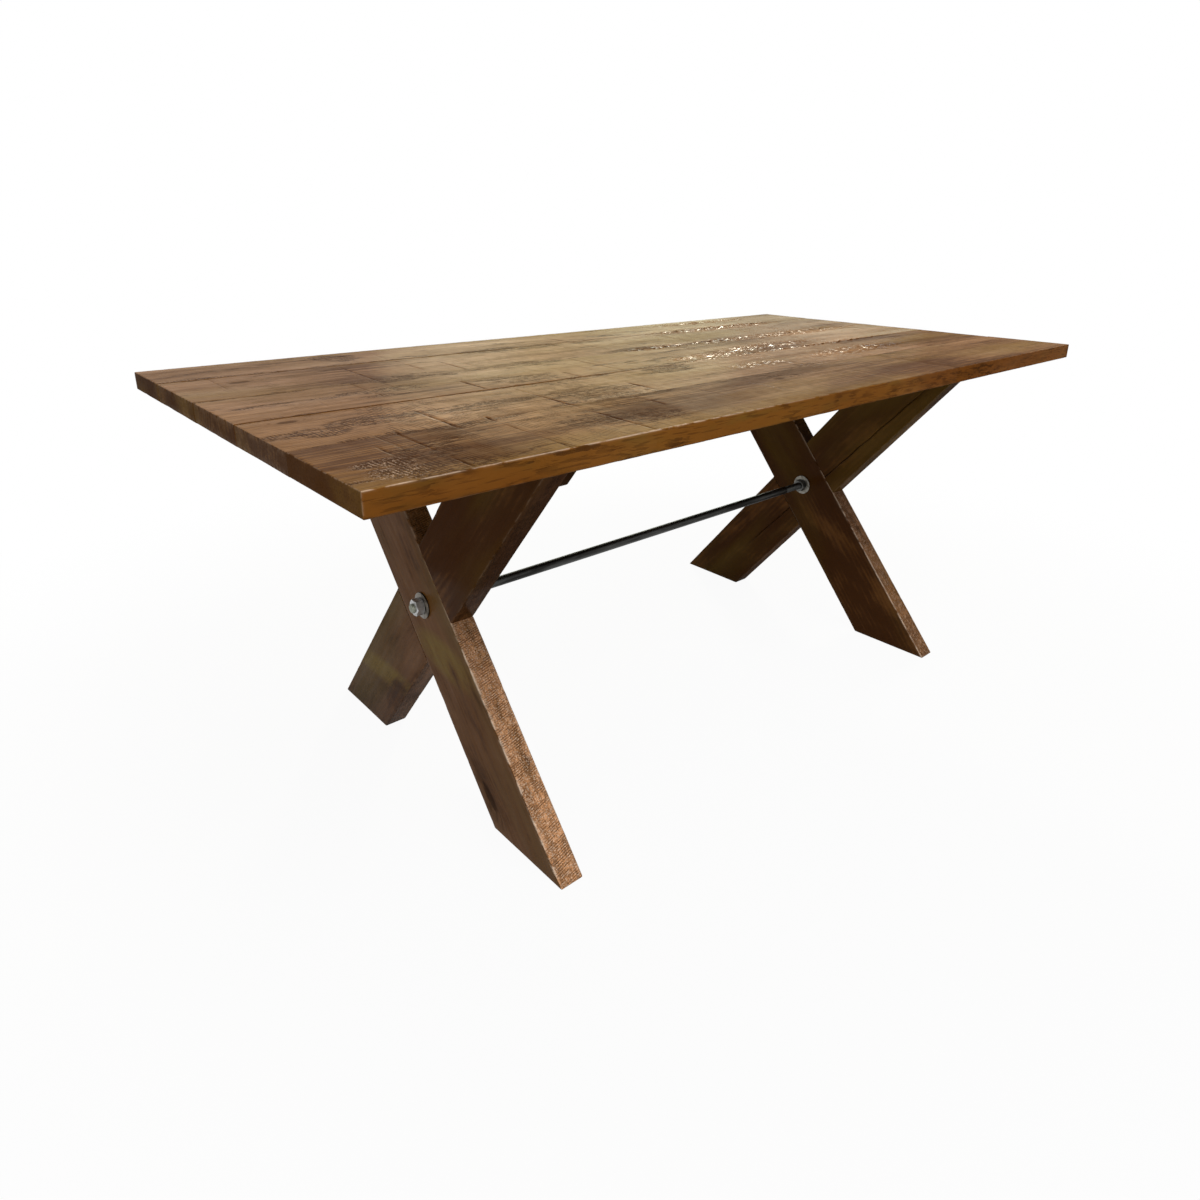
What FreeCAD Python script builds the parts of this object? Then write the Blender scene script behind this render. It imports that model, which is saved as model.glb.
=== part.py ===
import FreeCAD
import Part
import Sketcher
import os

# Sawbuck table: a plank top on two crossed, half-lapped trestles that a steel rod ties together.
# X runs along the table, Y across it and Z up. The origin is on the floor, under the middle of the top.

# Driving dimensions, in millimetres and degrees.
driving = {
    "table_height": 762,
    "end_overhang": 304,  # from each end of the top to the first timber under it
    "top_length": 1860,
    "top_thickness": 32,
    "plank_1_width": 202,  # planks are counted from the front edge to the back edge
    "plank_2_width": 188,
    "plank_3_width": 188,
    "plank_4_width": 206,
    "plank_5_width": 156,
    "plank_arris": 2.5,
    "dowel_diameter": 10,
    "dowel_length": 60,
    "dowel_chamfer": 1.5,
    "dowel_pitch": 300,
    "dowel_count": 6,
    "dowel_clearance": 0.3,
    "dowel_end_gap": 2,
    "leg_width": 150,
    "leg_thickness": 46,
    "leg_angle": 40,  # between a leg and the vertical
    "leg_arris": 3,
    "lap_clearance": 0.3,
    "bearer_height": 77,
    "bearer_thickness": 45,
    "bearer_setback": 23,  # from the leg's outer edge, measured along the underside of the top
    "bearer_arris": 2,
    "rod_diameter": 19,
    "rod_projection": 5,
    "rod_chamfer": 1.5,
    "thread_diameter": 18,
    "thread_spare": 60,  # bare thread beyond each inner nut
    "thread_clearance": 0.3,
    "rod_bore_clearance": 1,
    "nut_flats": 28.6,
    "nut_thickness": 16,
    "washer_diameter": 50,
    "washer_thickness": 3.5,
    "washer_edge": 0.6,
    "washer_clearance": 1,
    "lag_diameter": 9.5,
    "lag_length": 76,
    "lag_tip": 9,
    "lag_head_flats": 14.3,
    "lag_head_height": 6.4,
    "lag_spacing": 80,
    "lag_clearance": 1,
    "lag_end_gap": 2,
    "lag_washer_diameter": 25,
    "lag_washer_thickness": 2,
    "screw_diameter": 6,
    "screw_length": 70,
    "screw_tip": 6,
    "screw_head_diameter": 13,
    "screw_head_height": 5,
    "screw_count": 4,
    "screw_end_distance": 28,  # from the bearer's lower corner to its outermost screw
    "screw_clearance": 1,
    "screw_end_gap": 2,
    "counterbore_depth": 30,
    "counterbore_clearance": 5,
    "pilot_clearance": 0.2,
}

doc = FreeCAD.newDocument("sawbuck_table")
sheet = doc.addObject("Spreadsheet::Sheet", "sizes")
for row, (name, size) in enumerate(driving.items(), start=1):
    sheet.set(f"A{row}", name)
    sheet.set(f"B{row}", str(size))
    sheet.setAlias(f"B{row}", name)
doc.recompute()

# Derived lengths, as expressions of the sheet's values.
plank_count = 5
top_width = "(" + " + ".join(f"sizes.plank_{number}_width" for number in range(1, plank_count + 1)) + ")"
base_height = "(sizes.table_height - sizes.top_thickness)"
crossing_height = f"({base_height} / 2)"
leg_lean = f"({crossing_height} * tan(sizes.leg_angle))"
leg_half_cut = "(sizes.leg_width / 2 / cos(sizes.leg_angle))"
left_leg_x = "(sizes.end_overhang - sizes.top_length / 2)"
left_bearer_x = f"({left_leg_x} + sizes.leg_thickness)"
right_bearer_x = "(sizes.top_length / 2 - sizes.end_overhang - sizes.bearer_thickness)"
right_leg_x = f"({right_bearer_x} - sizes.leg_thickness)"
bearer_top_half = f"({leg_lean} + {leg_half_cut} - sizes.bearer_setback)"
bearer_bottom_half = f"({bearer_top_half} - sizes.bearer_height * tan(sizes.leg_angle))"
lag_height = f"({crossing_height} - sizes.bearer_height / 2)"  # above the crossing
lag_row = f"({lag_height} * tan(sizes.leg_angle))"  # a leg's centre line at the height of its lags
lag_bite = "(sizes.lag_length - sizes.lag_washer_thickness - sizes.bearer_thickness)"
screw_reach = f"({bearer_bottom_half} - sizes.screw_end_distance)"
screw_pitch = f"(2 * {screw_reach} / (sizes.screw_count - 1))"
screw_bite = "(sizes.screw_length - sizes.bearer_height + sizes.counterbore_depth)"
dowel_reach = "(sizes.dowel_pitch * (sizes.dowel_count - 1) / 2)"
nut_stack = "(sizes.washer_thickness + sizes.nut_thickness)"


def value(expression):
    return float(sheet.evalExpression(expression))


def plank_front(number):
    return " + ".join([f"-{top_width} / 2"] + [f"sizes.plank_{before}_width" for before in range(1, number)])


def make_body(name, across="0", back="0", up="0"):
    body = doc.addObject("PartDesign::Body", name)
    body.Label = name
    for axis, expression in zip("xyz", (across, back, up)):
        body.setExpression(f"Placement.Base.{axis}", expression)
    return body


def origin_feature(body, role):
    return next(feature for feature in body.Origin.OriginFeatures if feature.Role == role)


def make_sketch(body, name, role, offset="0", shift="0"):
    sketch = body.newObject("Sketcher::SketchObject", name)
    sketch.AttachmentSupport = [(origin_feature(body, role), "")]
    sketch.MapMode = "FlatFace"
    sketch.setExpression("AttachmentOffset.Base.x", shift)
    sketch.setExpression("AttachmentOffset.Base.z", offset)
    return sketch


def tie_point(sketch, geometry, point, across, up):
    if across == "0":
        sketch.addConstraint(Sketcher.Constraint("PointOnObject", geometry, point, -2))
    else:
        tie = sketch.addConstraint(Sketcher.Constraint("DistanceX", -1, 1, geometry, point, value(across)))
        sketch.setExpression(f"Constraints[{tie}]", across)
    if up == "0":
        sketch.addConstraint(Sketcher.Constraint("PointOnObject", geometry, point, -1))
    else:
        tie = sketch.addConstraint(Sketcher.Constraint("DistanceY", -1, 1, geometry, point, value(up)))
        sketch.setExpression(f"Constraints[{tie}]", up)


def add_outline(sketch, corners):
    points = [FreeCAD.Vector(value(across), value(up), 0) for across, up in corners]
    first = sketch.GeometryCount
    for start, end in zip(points, points[1:] + points[:1]):
        sketch.addGeometry(Part.LineSegment(start, end))
    for step, (across, up) in enumerate(corners):
        following = first + (step + 1) % len(corners)
        sketch.addConstraint(Sketcher.Constraint("Coincident", first + step, 2, following, 1))
        tie_point(sketch, first + step, 1, across, up)


def add_circle(sketch, across, up, diameter):
    centre = FreeCAD.Vector(value(across), value(up), 0)
    circle = sketch.addGeometry(Part.Circle(centre, FreeCAD.Vector(0, 0, 1), value(diameter) / 2))
    tie_point(sketch, circle, 3, across, up)
    tie = sketch.addConstraint(Sketcher.Constraint("Diameter", circle, value(diameter)))
    sketch.setExpression(f"Constraints[{tie}]", diameter)


def hexagon(flats):
    corner = f"{flats} / sqrt(3)"
    half_corner = f"{corner} / 2"
    half_flats = f"{flats} / 2"
    right = [(half_corner, f"-{half_flats}"), (corner, "0"), (half_corner, half_flats)]
    left = [(f"-{half_corner}", half_flats), (f"-{corner}", "0"), (f"-{half_corner}", f"-{half_flats}")]
    return right + left


def pad(body, sketch, length):
    feature = body.newObject("PartDesign::Pad", sketch.Name + "_pad")
    feature.Profile = sketch
    feature.setExpression("Length", length)
    doc.recompute()
    return feature


def cut(body, sketch, depth, towards_normal):
    # A pocket that takes nothing away has missed the piece.
    before = body.Shape.Volume
    feature = body.newObject("PartDesign::Pocket", sketch.Name + "_pocket")
    feature.Profile = sketch
    feature.Reversed = towards_normal
    feature.setExpression("Length", depth)
    doc.recompute()
    if body.Shape.Volume >= before:
        raise RuntimeError(f"{feature.Label} cuts nothing")
    return feature


def turn(body, sketch, axis, kind="PartDesign::Revolution"):
    feature = body.newObject(kind, sketch.Name + "_turned")
    feature.Profile = sketch
    feature.ReferenceAxis = (sketch, [axis])
    feature.Angle = 360
    doc.recompute()
    return feature


def ease(body, base, edges, radius):
    feature = body.newObject("PartDesign::Fillet", base.Name + "_eased")
    feature.Base = (base, edges)
    feature.setExpression("Radius", radius)
    doc.recompute()
    return feature


def bevel(body, base, edges, size):
    feature = body.newObject("PartDesign::Chamfer", base.Name + "_bevelled")
    feature.Base = (base, edges)
    feature.setExpression("Size", size)
    doc.recompute()
    return feature


def edges_where(feature, wanted):
    return [f"Edge{number}" for number, edge in enumerate(feature.Shape.Edges, start=1) if wanted(edge)]


def repeat(body, originals, role, length, count):
    feature = body.newObject("PartDesign::LinearPattern", originals[0].Name + "_row")
    feature.Originals = originals
    feature.Direction = (origin_feature(body, role), [""])
    feature.setExpression("Length", length)
    feature.setExpression("Occurrences", count)
    body.Tip = feature
    doc.recompute()
    return feature


def reflect(body, role):
    feature = body.newObject("PartDesign::Mirrored", body.Name + "_mirrored")
    feature.TransformMode = "Whole shape"
    feature.MirrorPlane = (origin_feature(body, role), [""])
    body.Tip = feature
    doc.recompute()
    return feature


def drill_dowel_holes(body, name, face, towards_normal):
    # One row of dowel holes along a joint edge, at half the plank's thickness.
    sketch = make_sketch(body, name, "XZ_Plane", offset=face)
    add_circle(sketch, f"-{dowel_reach}", "sizes.top_thickness / 2", "sizes.dowel_diameter + sizes.dowel_clearance")
    hole = cut(body, sketch, "sizes.dowel_length / 2 + sizes.dowel_end_gap", towards_normal)
    repeat(body, [hole], "X_Axis", f"2 * {dowel_reach}", "sizes.dowel_count")


def screw_rows():
    return [f"({step} * {screw_pitch} - {screw_reach})" for step in range(int(value("sizes.screw_count")))]


def make_plank(number):
    # Eased all round, so that the top shows a fine groove along each seam.
    width = f"sizes.plank_{number}_width"
    front = plank_front(number)
    name = f"top_plank_{number}"
    body = make_body(name, back=front, up=base_height)
    sketch = make_sketch(body, name + "_outline", "XY_Plane")
    half_length = "sizes.top_length / 2"
    ends = [f"-{half_length}", half_length]
    add_outline(sketch, [(ends[0], "0"), (ends[1], "0"), (ends[1], width), (ends[0], width)])
    board = pad(body, sketch, "sizes.top_thickness")
    ease(body, board, edges_where(board, lambda edge: True), "sizes.plank_arris")
    if number > 1:
        drill_dowel_holes(body, name + "_front_holes", "0", False)
    if number < plank_count:
        drill_dowel_holes(body, name + "_back_holes", f"-{width}", True)
    pilot = "sizes.screw_diameter + sizes.pilot_clearance"
    margin = value(pilot) / 2
    rows = [row for row in screw_rows() if -margin < value(f"{row} - ({front})") < value(width) + margin]
    if rows:
        sketch = make_sketch(body, name + "_pilots", "XY_Plane")
        for bearer_x in (left_bearer_x, right_bearer_x):
            for screw_row in rows:
                across = f"{bearer_x} + sizes.bearer_thickness / 2"
                add_circle(sketch, across, f"{screw_row} - ({front})", pilot)
        cut(body, sketch, f"{screw_bite} + sizes.screw_end_gap", True)
    return body


def make_seam_dowels(number):
    # The dowels that line up a plank with the next one behind it.
    name = f"seam_dowels_{number}"
    body = make_body(name, back=plank_front(number + 1), up=f"{base_height} + sizes.top_thickness / 2")
    sketch = make_sketch(body, name + "_profile", "XY_Plane", shift=f"-{dowel_reach}")
    radius = "sizes.dowel_diameter / 2"
    tip_radius = f"{radius} - sizes.dowel_chamfer"
    half = "sizes.dowel_length / 2"
    side = f"({half} - sizes.dowel_chamfer)"
    add_outline(sketch, [("0", f"-{half}"), (tip_radius, f"-{half}"), (radius, f"-{side}"),
                         (radius, side), (tip_radius, half), ("0", half)])
    dowel = turn(body, sketch, "V_Axis")
    repeat(body, [dowel], "X_Axis", f"2 * {dowel_reach}", "sizes.dowel_count")
    return body


def leg_outline(lean):
    # A slanted board cut level at the floor and under the top, about the crossing.
    top_y = f"{lean} * {leg_lean}"
    bottom_y = f"{-lean} * {leg_lean}"
    floor = f"-{crossing_height}"
    return [(f"{bottom_y} - {leg_half_cut}", floor), (f"{bottom_y} + {leg_half_cut}", floor),
            (f"{top_y} + {leg_half_cut}", crossing_height), (f"{top_y} - {leg_half_cut}", crossing_height)]


def lap_outline(lean):
    # The strip that the other leg takes up where the two cross.
    reach = "sizes.leg_width"
    half_width = "((sizes.leg_width + sizes.lap_clearance) / 2)"
    along = (f"{-lean} * sin(sizes.leg_angle) * {reach}", f"cos(sizes.leg_angle) * {reach}")
    side = (f"cos(sizes.leg_angle) * {half_width}", f"{lean} * sin(sizes.leg_angle) * {half_width}")
    corners = []
    for end, edge in ((-1, -1), (-1, 1), (1, 1), (1, -1)):
        corners.append(tuple(f"{end} * {far} + {edge} * {near}" for far, near in zip(along, side)))
    return corners


def make_leg(name, leg_x, lean, lap_behind):
    # Half of the thickness is cut away at the crossing, from the +X face where lap_behind is true.
    body = make_body(name, across=leg_x, up=crossing_height)
    sketch = make_sketch(body, name + "_outline", "YZ_Plane")
    add_outline(sketch, leg_outline(lean))
    board = pad(body, sketch, "sizes.leg_thickness")
    length = value(base_height) / value("cos(sizes.leg_angle)")
    ease(body, board, edges_where(board, lambda edge: abs(edge.Length - length) < 0.01), "sizes.leg_arris")
    lap_face = "sizes.leg_thickness" if lap_behind else "0"
    sketch = make_sketch(body, name + "_lap", "YZ_Plane", offset=lap_face)
    add_outline(sketch, lap_outline(lean))
    cut(body, sketch, "sizes.leg_thickness / 2", not lap_behind)
    sketch = make_sketch(body, name + "_bore", "YZ_Plane")
    add_circle(sketch, "0", "0", "sizes.thread_diameter + sizes.rod_bore_clearance")
    cut(body, sketch, "sizes.leg_thickness", True)
    sketch = make_sketch(body, name + "_lag_pilots", "YZ_Plane", offset="sizes.leg_thickness")
    for side in (-1, 1):
        across = f"{lean} * {lag_row} + {side} * sizes.lag_spacing / 2"
        add_circle(sketch, across, lag_height, "sizes.lag_diameter + sizes.pilot_clearance")
    cut(body, sketch, f"{lag_bite} + sizes.lag_end_gap", False)
    return body


def make_bearer(name, bearer_x):
    # A cleat across the leg tops, with its ends bevelled along the legs.
    body = make_body(name, across=bearer_x, up=f"{base_height} - sizes.bearer_height")
    sketch = make_sketch(body, name + "_outline", "YZ_Plane")
    add_outline(sketch, [(f"-{bearer_bottom_half}", "0"), (bearer_bottom_half, "0"),
                         (bearer_top_half, "sizes.bearer_height"), (f"-{bearer_top_half}", "sizes.bearer_height")])
    board = pad(body, sketch, "sizes.bearer_thickness")
    ease(body, board, edges_where(board, lambda edge: True), "sizes.bearer_arris")
    sketch = make_sketch(body, name + "_lag_holes", "YZ_Plane")
    for leg_side in (-1, 1):
        for side in (-1, 1):
            across = f"{leg_side} * {lag_row} + {side} * sizes.lag_spacing / 2"
            add_circle(sketch, across, "sizes.bearer_height / 2", "sizes.lag_diameter + sizes.lag_clearance")
    cut(body, sketch, "sizes.bearer_thickness", True)
    drilled = (("_screw_holes", "sizes.screw_diameter + sizes.screw_clearance", "sizes.bearer_height"),
               ("_counterbores", "sizes.screw_head_diameter + sizes.counterbore_clearance",
                "sizes.counterbore_depth"))
    for suffix, diameter, depth in drilled:
        sketch = make_sketch(body, name + suffix, "XY_Plane")
        add_circle(sketch, "sizes.bearer_thickness / 2", f"-{screw_reach}", diameter)
        hole = cut(body, sketch, depth, True)
        repeat(body, [hole], "Y_Axis", f"2 * {screw_reach}", "sizes.screw_count")
    return body


def make_top_screws(name, bearer_x):
    # Wood screws, each seated in its counterbore and driven up into the planks.
    head_seat = f"{base_height} - sizes.bearer_height + sizes.counterbore_depth"
    body = make_body(name, across=f"{bearer_x} + sizes.bearer_thickness / 2", back=f"-{screw_reach}", up=head_seat)
    sketch = make_sketch(body, name + "_profile", "XZ_Plane")
    shank = "sizes.screw_diameter / 2"
    head = "sizes.screw_head_diameter / 2"
    crown = f"{head} - sizes.screw_head_height / 2"
    add_outline(sketch, [("0", "-sizes.screw_head_height"), (crown, "-sizes.screw_head_height"),
                         (head, "-sizes.screw_head_height / 2"), (head, "0"), (shank, "0"),
                         (shank, "sizes.screw_length - sizes.screw_tip"), ("0", "sizes.screw_length")])
    screw = turn(body, sketch, "V_Axis")
    repeat(body, [screw], "Y_Axis", f"2 * {screw_reach}", "sizes.screw_count")
    return body


def place_lags(body, originals):
    # Two lags into each leg, at the same height on both legs.
    repeat(body, originals, "Y_Axis", "sizes.lag_spacing", "2")
    reflect(body, "XZ_Plane")


def make_lag_screws(name, bearer_x):
    # Hex-headed lags from the bearer's +X face into the legs.
    seat = f"{bearer_x} + sizes.bearer_thickness + sizes.lag_washer_thickness"
    body = make_body(name, across=seat, up=f"{base_height} - sizes.bearer_height / 2")
    first = f"({lag_row} - sizes.lag_spacing / 2)"
    sketch = make_sketch(body, name + "_head", "YZ_Plane", shift=first)
    add_outline(sketch, hexagon("sizes.lag_head_flats"))
    head = pad(body, sketch, "sizes.lag_head_height")
    sketch = make_sketch(body, name + "_shank", "XY_Plane")
    sketch.setExpression("AttachmentOffset.Base.y", first)
    radius = "sizes.lag_diameter / 2"
    add_outline(sketch, [("0", "0"), ("0", radius), ("sizes.lag_tip - sizes.lag_length", radius),
                         ("-sizes.lag_length", "0")])
    shank = turn(body, sketch, "H_Axis")
    place_lags(body, [head, shank])
    return body


def make_lag_washers(name, bearer_x):
    body = make_body(name, across=f"{bearer_x} + sizes.bearer_thickness",
                     up=f"{base_height} - sizes.bearer_height / 2")
    sketch = make_sketch(body, name + "_ring", "YZ_Plane", shift=f"({lag_row} - sizes.lag_spacing / 2)")
    add_circle(sketch, "0", "0", "sizes.lag_washer_diameter")
    add_circle(sketch, "0", "0", "sizes.lag_diameter + sizes.lag_clearance")
    place_lags(body, [pad(body, sketch, "sizes.lag_washer_thickness")])
    return body


def make_tie_rod(name):
    # Full size between the trestles, cut down to the thread where it passes through them.
    body = make_body(name, up=crossing_height)
    sketch = make_sketch(body, name + "_profile", "XZ_Plane")
    thread = "sizes.thread_diameter / 2"
    full = "sizes.rod_diameter / 2"
    step = f"({full} - {thread})"
    tip = f"{thread} - sizes.rod_chamfer"
    left_end = f"({left_leg_x} - {nut_stack} - sizes.rod_projection)"
    left_shoulder = f"({left_bearer_x} + {nut_stack} + sizes.thread_spare)"
    right_shoulder = f"({right_leg_x} - {nut_stack} - sizes.thread_spare)"
    right_end = f"({right_bearer_x} + {nut_stack} + sizes.rod_projection)"
    add_outline(sketch, [(left_end, "0"), (left_end, tip), (f"{left_end} + sizes.rod_chamfer", thread),
                         (left_shoulder, thread), (f"{left_shoulder} + {step}", full),
                         (f"{right_shoulder} - {step}", full), (right_shoulder, thread),
                         (f"{right_end} - sizes.rod_chamfer", thread), (right_end, tip), (right_end, "0")])
    turn(body, sketch, "H_Axis")
    return body


def make_nut(name, nut_x):
    # A hex nut whose corners are turned off at thirty degrees on both faces.
    body = make_body(name, across=nut_x, up=crossing_height)
    sketch = make_sketch(body, name + "_outline", "YZ_Plane")
    add_outline(sketch, hexagon("sizes.nut_flats"))
    add_circle(sketch, "0", "0", "sizes.thread_diameter + sizes.thread_clearance")
    pad(body, sketch, "sizes.nut_thickness")
    sketch = make_sketch(body, name + "_crown", "XZ_Plane")
    inner = "sizes.nut_flats / 2"
    outer = "sizes.nut_flats * 0.65"  # just past the corners
    depth = f"({outer} - {inner}) * tan(30)"
    far = "sizes.nut_thickness"
    add_outline(sketch, [("0", inner), (depth, outer), ("0", outer)])
    add_outline(sketch, [(far, inner), (far, outer), (f"{far} - {depth}", outer)])
    turn(body, sketch, "H_Axis", "PartDesign::Groove")
    return body


def make_washer(name, washer_x):
    body = make_body(name, across=washer_x, up=crossing_height)
    sketch = make_sketch(body, name + "_ring", "YZ_Plane")
    add_circle(sketch, "0", "0", "sizes.washer_diameter")
    add_circle(sketch, "0", "0", "sizes.thread_diameter + sizes.washer_clearance")
    ring = pad(body, sketch, "sizes.washer_thickness")
    radius = value("sizes.washer_diameter") / 2
    rim = edges_where(ring, lambda edge: isinstance(edge.Curve, Part.Circle) and edge.Curve.Radius == radius)
    bevel(body, ring, rim, "sizes.washer_edge")
    return body


nodes = [make_plank(number) for number in range(1, plank_count + 1)]
nodes += [make_seam_dowels(number) for number in range(1, plank_count)]
for end, leg_x, bearer_x in (("left", left_leg_x, left_bearer_x), ("right", right_leg_x, right_bearer_x)):
    nodes.append(make_leg(f"{end}_leg_a", leg_x, 1, True))
    nodes.append(make_leg(f"{end}_leg_b", leg_x, -1, False))
    nodes.append(make_bearer(f"{end}_bearer", bearer_x))
    nodes.append(make_lag_screws(f"{end}_lag_screws", bearer_x))
    nodes.append(make_lag_washers(f"{end}_lag_washers", bearer_x))
    nodes.append(make_top_screws(f"{end}_top_screws", bearer_x))
nodes.append(make_tie_rod("tie_rod"))
stacks = (("left_outer", f"{left_leg_x} - sizes.washer_thickness", f"{left_leg_x} - {nut_stack}"),
          ("left_inner", left_bearer_x, f"{left_bearer_x} + sizes.washer_thickness"),
          ("right_inner", f"{right_leg_x} - sizes.washer_thickness", f"{right_leg_x} - {nut_stack}"),
          ("right_outer", right_bearer_x, f"{right_bearer_x} + sizes.washer_thickness"))
for place, washer_x, nut_x in stacks:
    nodes.append(make_washer(f"{place}_washer", washer_x))
    nodes.append(make_nut(f"{place}_nut", nut_x))
doc.recompute()

failed = [item.Name for item in doc.Objects if "Invalid" in item.State or "Error" in item.State]
failed += [node.Label for node in nodes if node.Shape.isNull() or not node.Shape.isValid()]
if failed:
    raise RuntimeError(f"not built: {failed}")
os.makedirs("parts", exist_ok=True)
for node in nodes:
    node.Shape.exportStep(f"parts/{node.Label}.step")
    print(f"{node.Label}: {len(node.Shape.Solids)} solids, {node.Shape.Volume / 1000:.1f} cm3")
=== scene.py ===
import math
import random
import bpy
import numpy as np
from mathutils import Matrix, Vector, noise


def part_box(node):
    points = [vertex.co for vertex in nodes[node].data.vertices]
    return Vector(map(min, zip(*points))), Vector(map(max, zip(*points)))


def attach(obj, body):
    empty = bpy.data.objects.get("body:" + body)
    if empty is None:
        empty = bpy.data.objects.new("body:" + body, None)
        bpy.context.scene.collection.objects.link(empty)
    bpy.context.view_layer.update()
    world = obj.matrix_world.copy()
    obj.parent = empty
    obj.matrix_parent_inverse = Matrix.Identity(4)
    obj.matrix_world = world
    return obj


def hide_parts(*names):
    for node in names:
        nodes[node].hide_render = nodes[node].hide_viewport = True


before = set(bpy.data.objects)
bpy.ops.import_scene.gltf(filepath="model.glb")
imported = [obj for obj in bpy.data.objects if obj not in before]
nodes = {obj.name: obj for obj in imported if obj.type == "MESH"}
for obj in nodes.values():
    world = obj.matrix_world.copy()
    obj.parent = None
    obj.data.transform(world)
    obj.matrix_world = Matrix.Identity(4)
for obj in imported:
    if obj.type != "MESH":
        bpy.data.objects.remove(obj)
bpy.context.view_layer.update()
print("frame:", len(nodes), "nodes")


# node helpers

def feed(tree, source, socket):
    if isinstance(source, bpy.types.NodeSocket):
        tree.links.new(source, socket)
    else:
        socket.default_value = source


def addNode(tree, kind, inputs=None, **settings):
    made = tree.nodes.new(kind)
    for key, setting in settings.items():
        setattr(made, key, setting)
    for key, source in (inputs or {}).items():
        feed(tree, source, made.inputs[key])
    return made


def calc(tree, operation, *values):
    return addNode(tree, "ShaderNodeMath", dict(enumerate(values)), operation=operation).outputs[0]


def times(tree, product, *factors):
    for factor in factors:
        product = calc(tree, "MULTIPLY", product, factor)
    return product


def ramp(tree, value, slope, start):  # value * slope + start
    return calc(tree, "MULTIPLY_ADD", value, slope, start)


def fade(tree, value, start, end, low=0.0, high=1.0):  # smooth step from low to high
    inputs = dict(enumerate((value, start, end, low, high)))
    return addNode(tree, "ShaderNodeMapRange", inputs, interpolation_type="SMOOTHSTEP").outputs["Result"]


def stretched(tree, coord, stretch):
    return addNode(tree, "ShaderNodeVectorMath", {0: coord, 1: stretch}, operation="MULTIPLY").outputs[0]


def split(tree, vector):
    return addNode(tree, "ShaderNodeSeparateXYZ", {0: vector}).outputs


def cloud(tree, coord, stretch, detail=2.0, rough=0.5):  # noise, drawn out along the board
    inputs = {"Vector": stretched(tree, coord, stretch), "Scale": 1.0, "Detail": detail, "Roughness": rough}
    return addNode(tree, "ShaderNodeTexNoise", inputs).outputs[0]


def blend(tree, share, first, second):
    return addNode(tree, "ShaderNodeMix", {0: share, 6: first, 7: second}, data_type="RGBA").outputs[2]


def startGroup(name, inputs, outputs):  # socket labels are listed by kind
    tree = bpy.data.node_groups.new(name, "ShaderNodeTree")
    for way, sockets in (("INPUT", inputs), ("OUTPUT", outputs)):
        for kind, labels in sockets.items():
            for label in labels:
                tree.interface.new_socket(label, in_out=way, socket_type=f"NodeSocket{kind}")
    return tree, tree.nodes.new("NodeGroupInput").outputs, tree.nodes.new("NodeGroupOutput").inputs


def placeGroup(tree, group, known):  # takes what it has sockets for
    made = tree.nodes.new("ShaderNodeGroup")
    made.node_tree = group
    for socket in made.inputs:
        if socket.name in known:
            feed(tree, known[socket.name], socket)
    return made.outputs


def newMaterial(name):
    material = bpy.data.materials.new(name)
    material.use_nodes = True
    tree = material.node_tree
    return material, tree, tree.nodes["Principled BSDF"]


def dress(tree, shader, skin, strength, depth):  # colour, roughness and bump
    inputs = {"Height": skin["Height"], "Strength": strength, "Distance": depth}
    bump = addNode(tree, "ShaderNodeBump", inputs)
    feed(tree, skin["Color"], shader.inputs["Base Color"])
    feed(tree, skin["Roughness"], shader.inputs["Roughness"])
    feed(tree, bump.outputs[0], shader.inputs["Normal"])


# marks in the wood: stretch along, across and through the board, detail, roughness
grainClouds = dict(
    ragged=((40, 90, 90), 3), heart=((60, 130, 130), 3), wander=((1.1, 7, 7), 3),
    fibre=((7, 340, 340), 3, 0.62), drift=((13, 9, 9),), combing=((30, 10, 10), 3),
    streaks=((4, 80, 80), 4, 0.65))
# and marks with an edge: where each starts and is full, then its stretch, detail, roughness
grainMarks = dict(
    pores=((0.56, 0.66), (30, 420, 420), 1), dashes=((0.4, 0.54), (110, 42, 42)),
    specks=((0.53, 0.6), (170, 330, 330), 2, 0.6), torn=((0.51, 0.6), (42, 230, 230), 3, 0.62),
    cast=((0.4, 0.66), (1.6, 6, 6), 3), worn=((0.2, 0.55), (9, 40, 40), 4),
    grime=((0.4, 0.6), (7, 60, 60), 3), chips=((0.38, 0.56), (45, 110, 110), 3),
    flecks=((0.52, 0.62), (420, 330, 330), 1), ridges=((0.53, 0.59), (55, 75, 75), 3, 0.6))


def grainCloud(tree, coord, name):
    return cloud(tree, coord, *grainClouds[name])


def grainMark(tree, coord, name):
    edge, *settings = grainMarks[name]
    return fade(tree, cloud(tree, coord, *settings), *edge)


# wood figure: growth rings about a pith under the board, fibres, pores and knots
figure = dict(
    knotSpread=(2.2, 6.0, 6.0), knotReach=0.4, knotHeart=(0.13, 0.06), knotRagged=0.08, spotHeart=(0.42, 0.6),
    spotRagged=0.3, wander=0.11, pithDepth=0.05, ringPush=0.05, ringSharpness=1.4, swirlReach=(0.05, 0.4),
    swirlRings=(0.4, 0.9), swirlDark=0.55)


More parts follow.
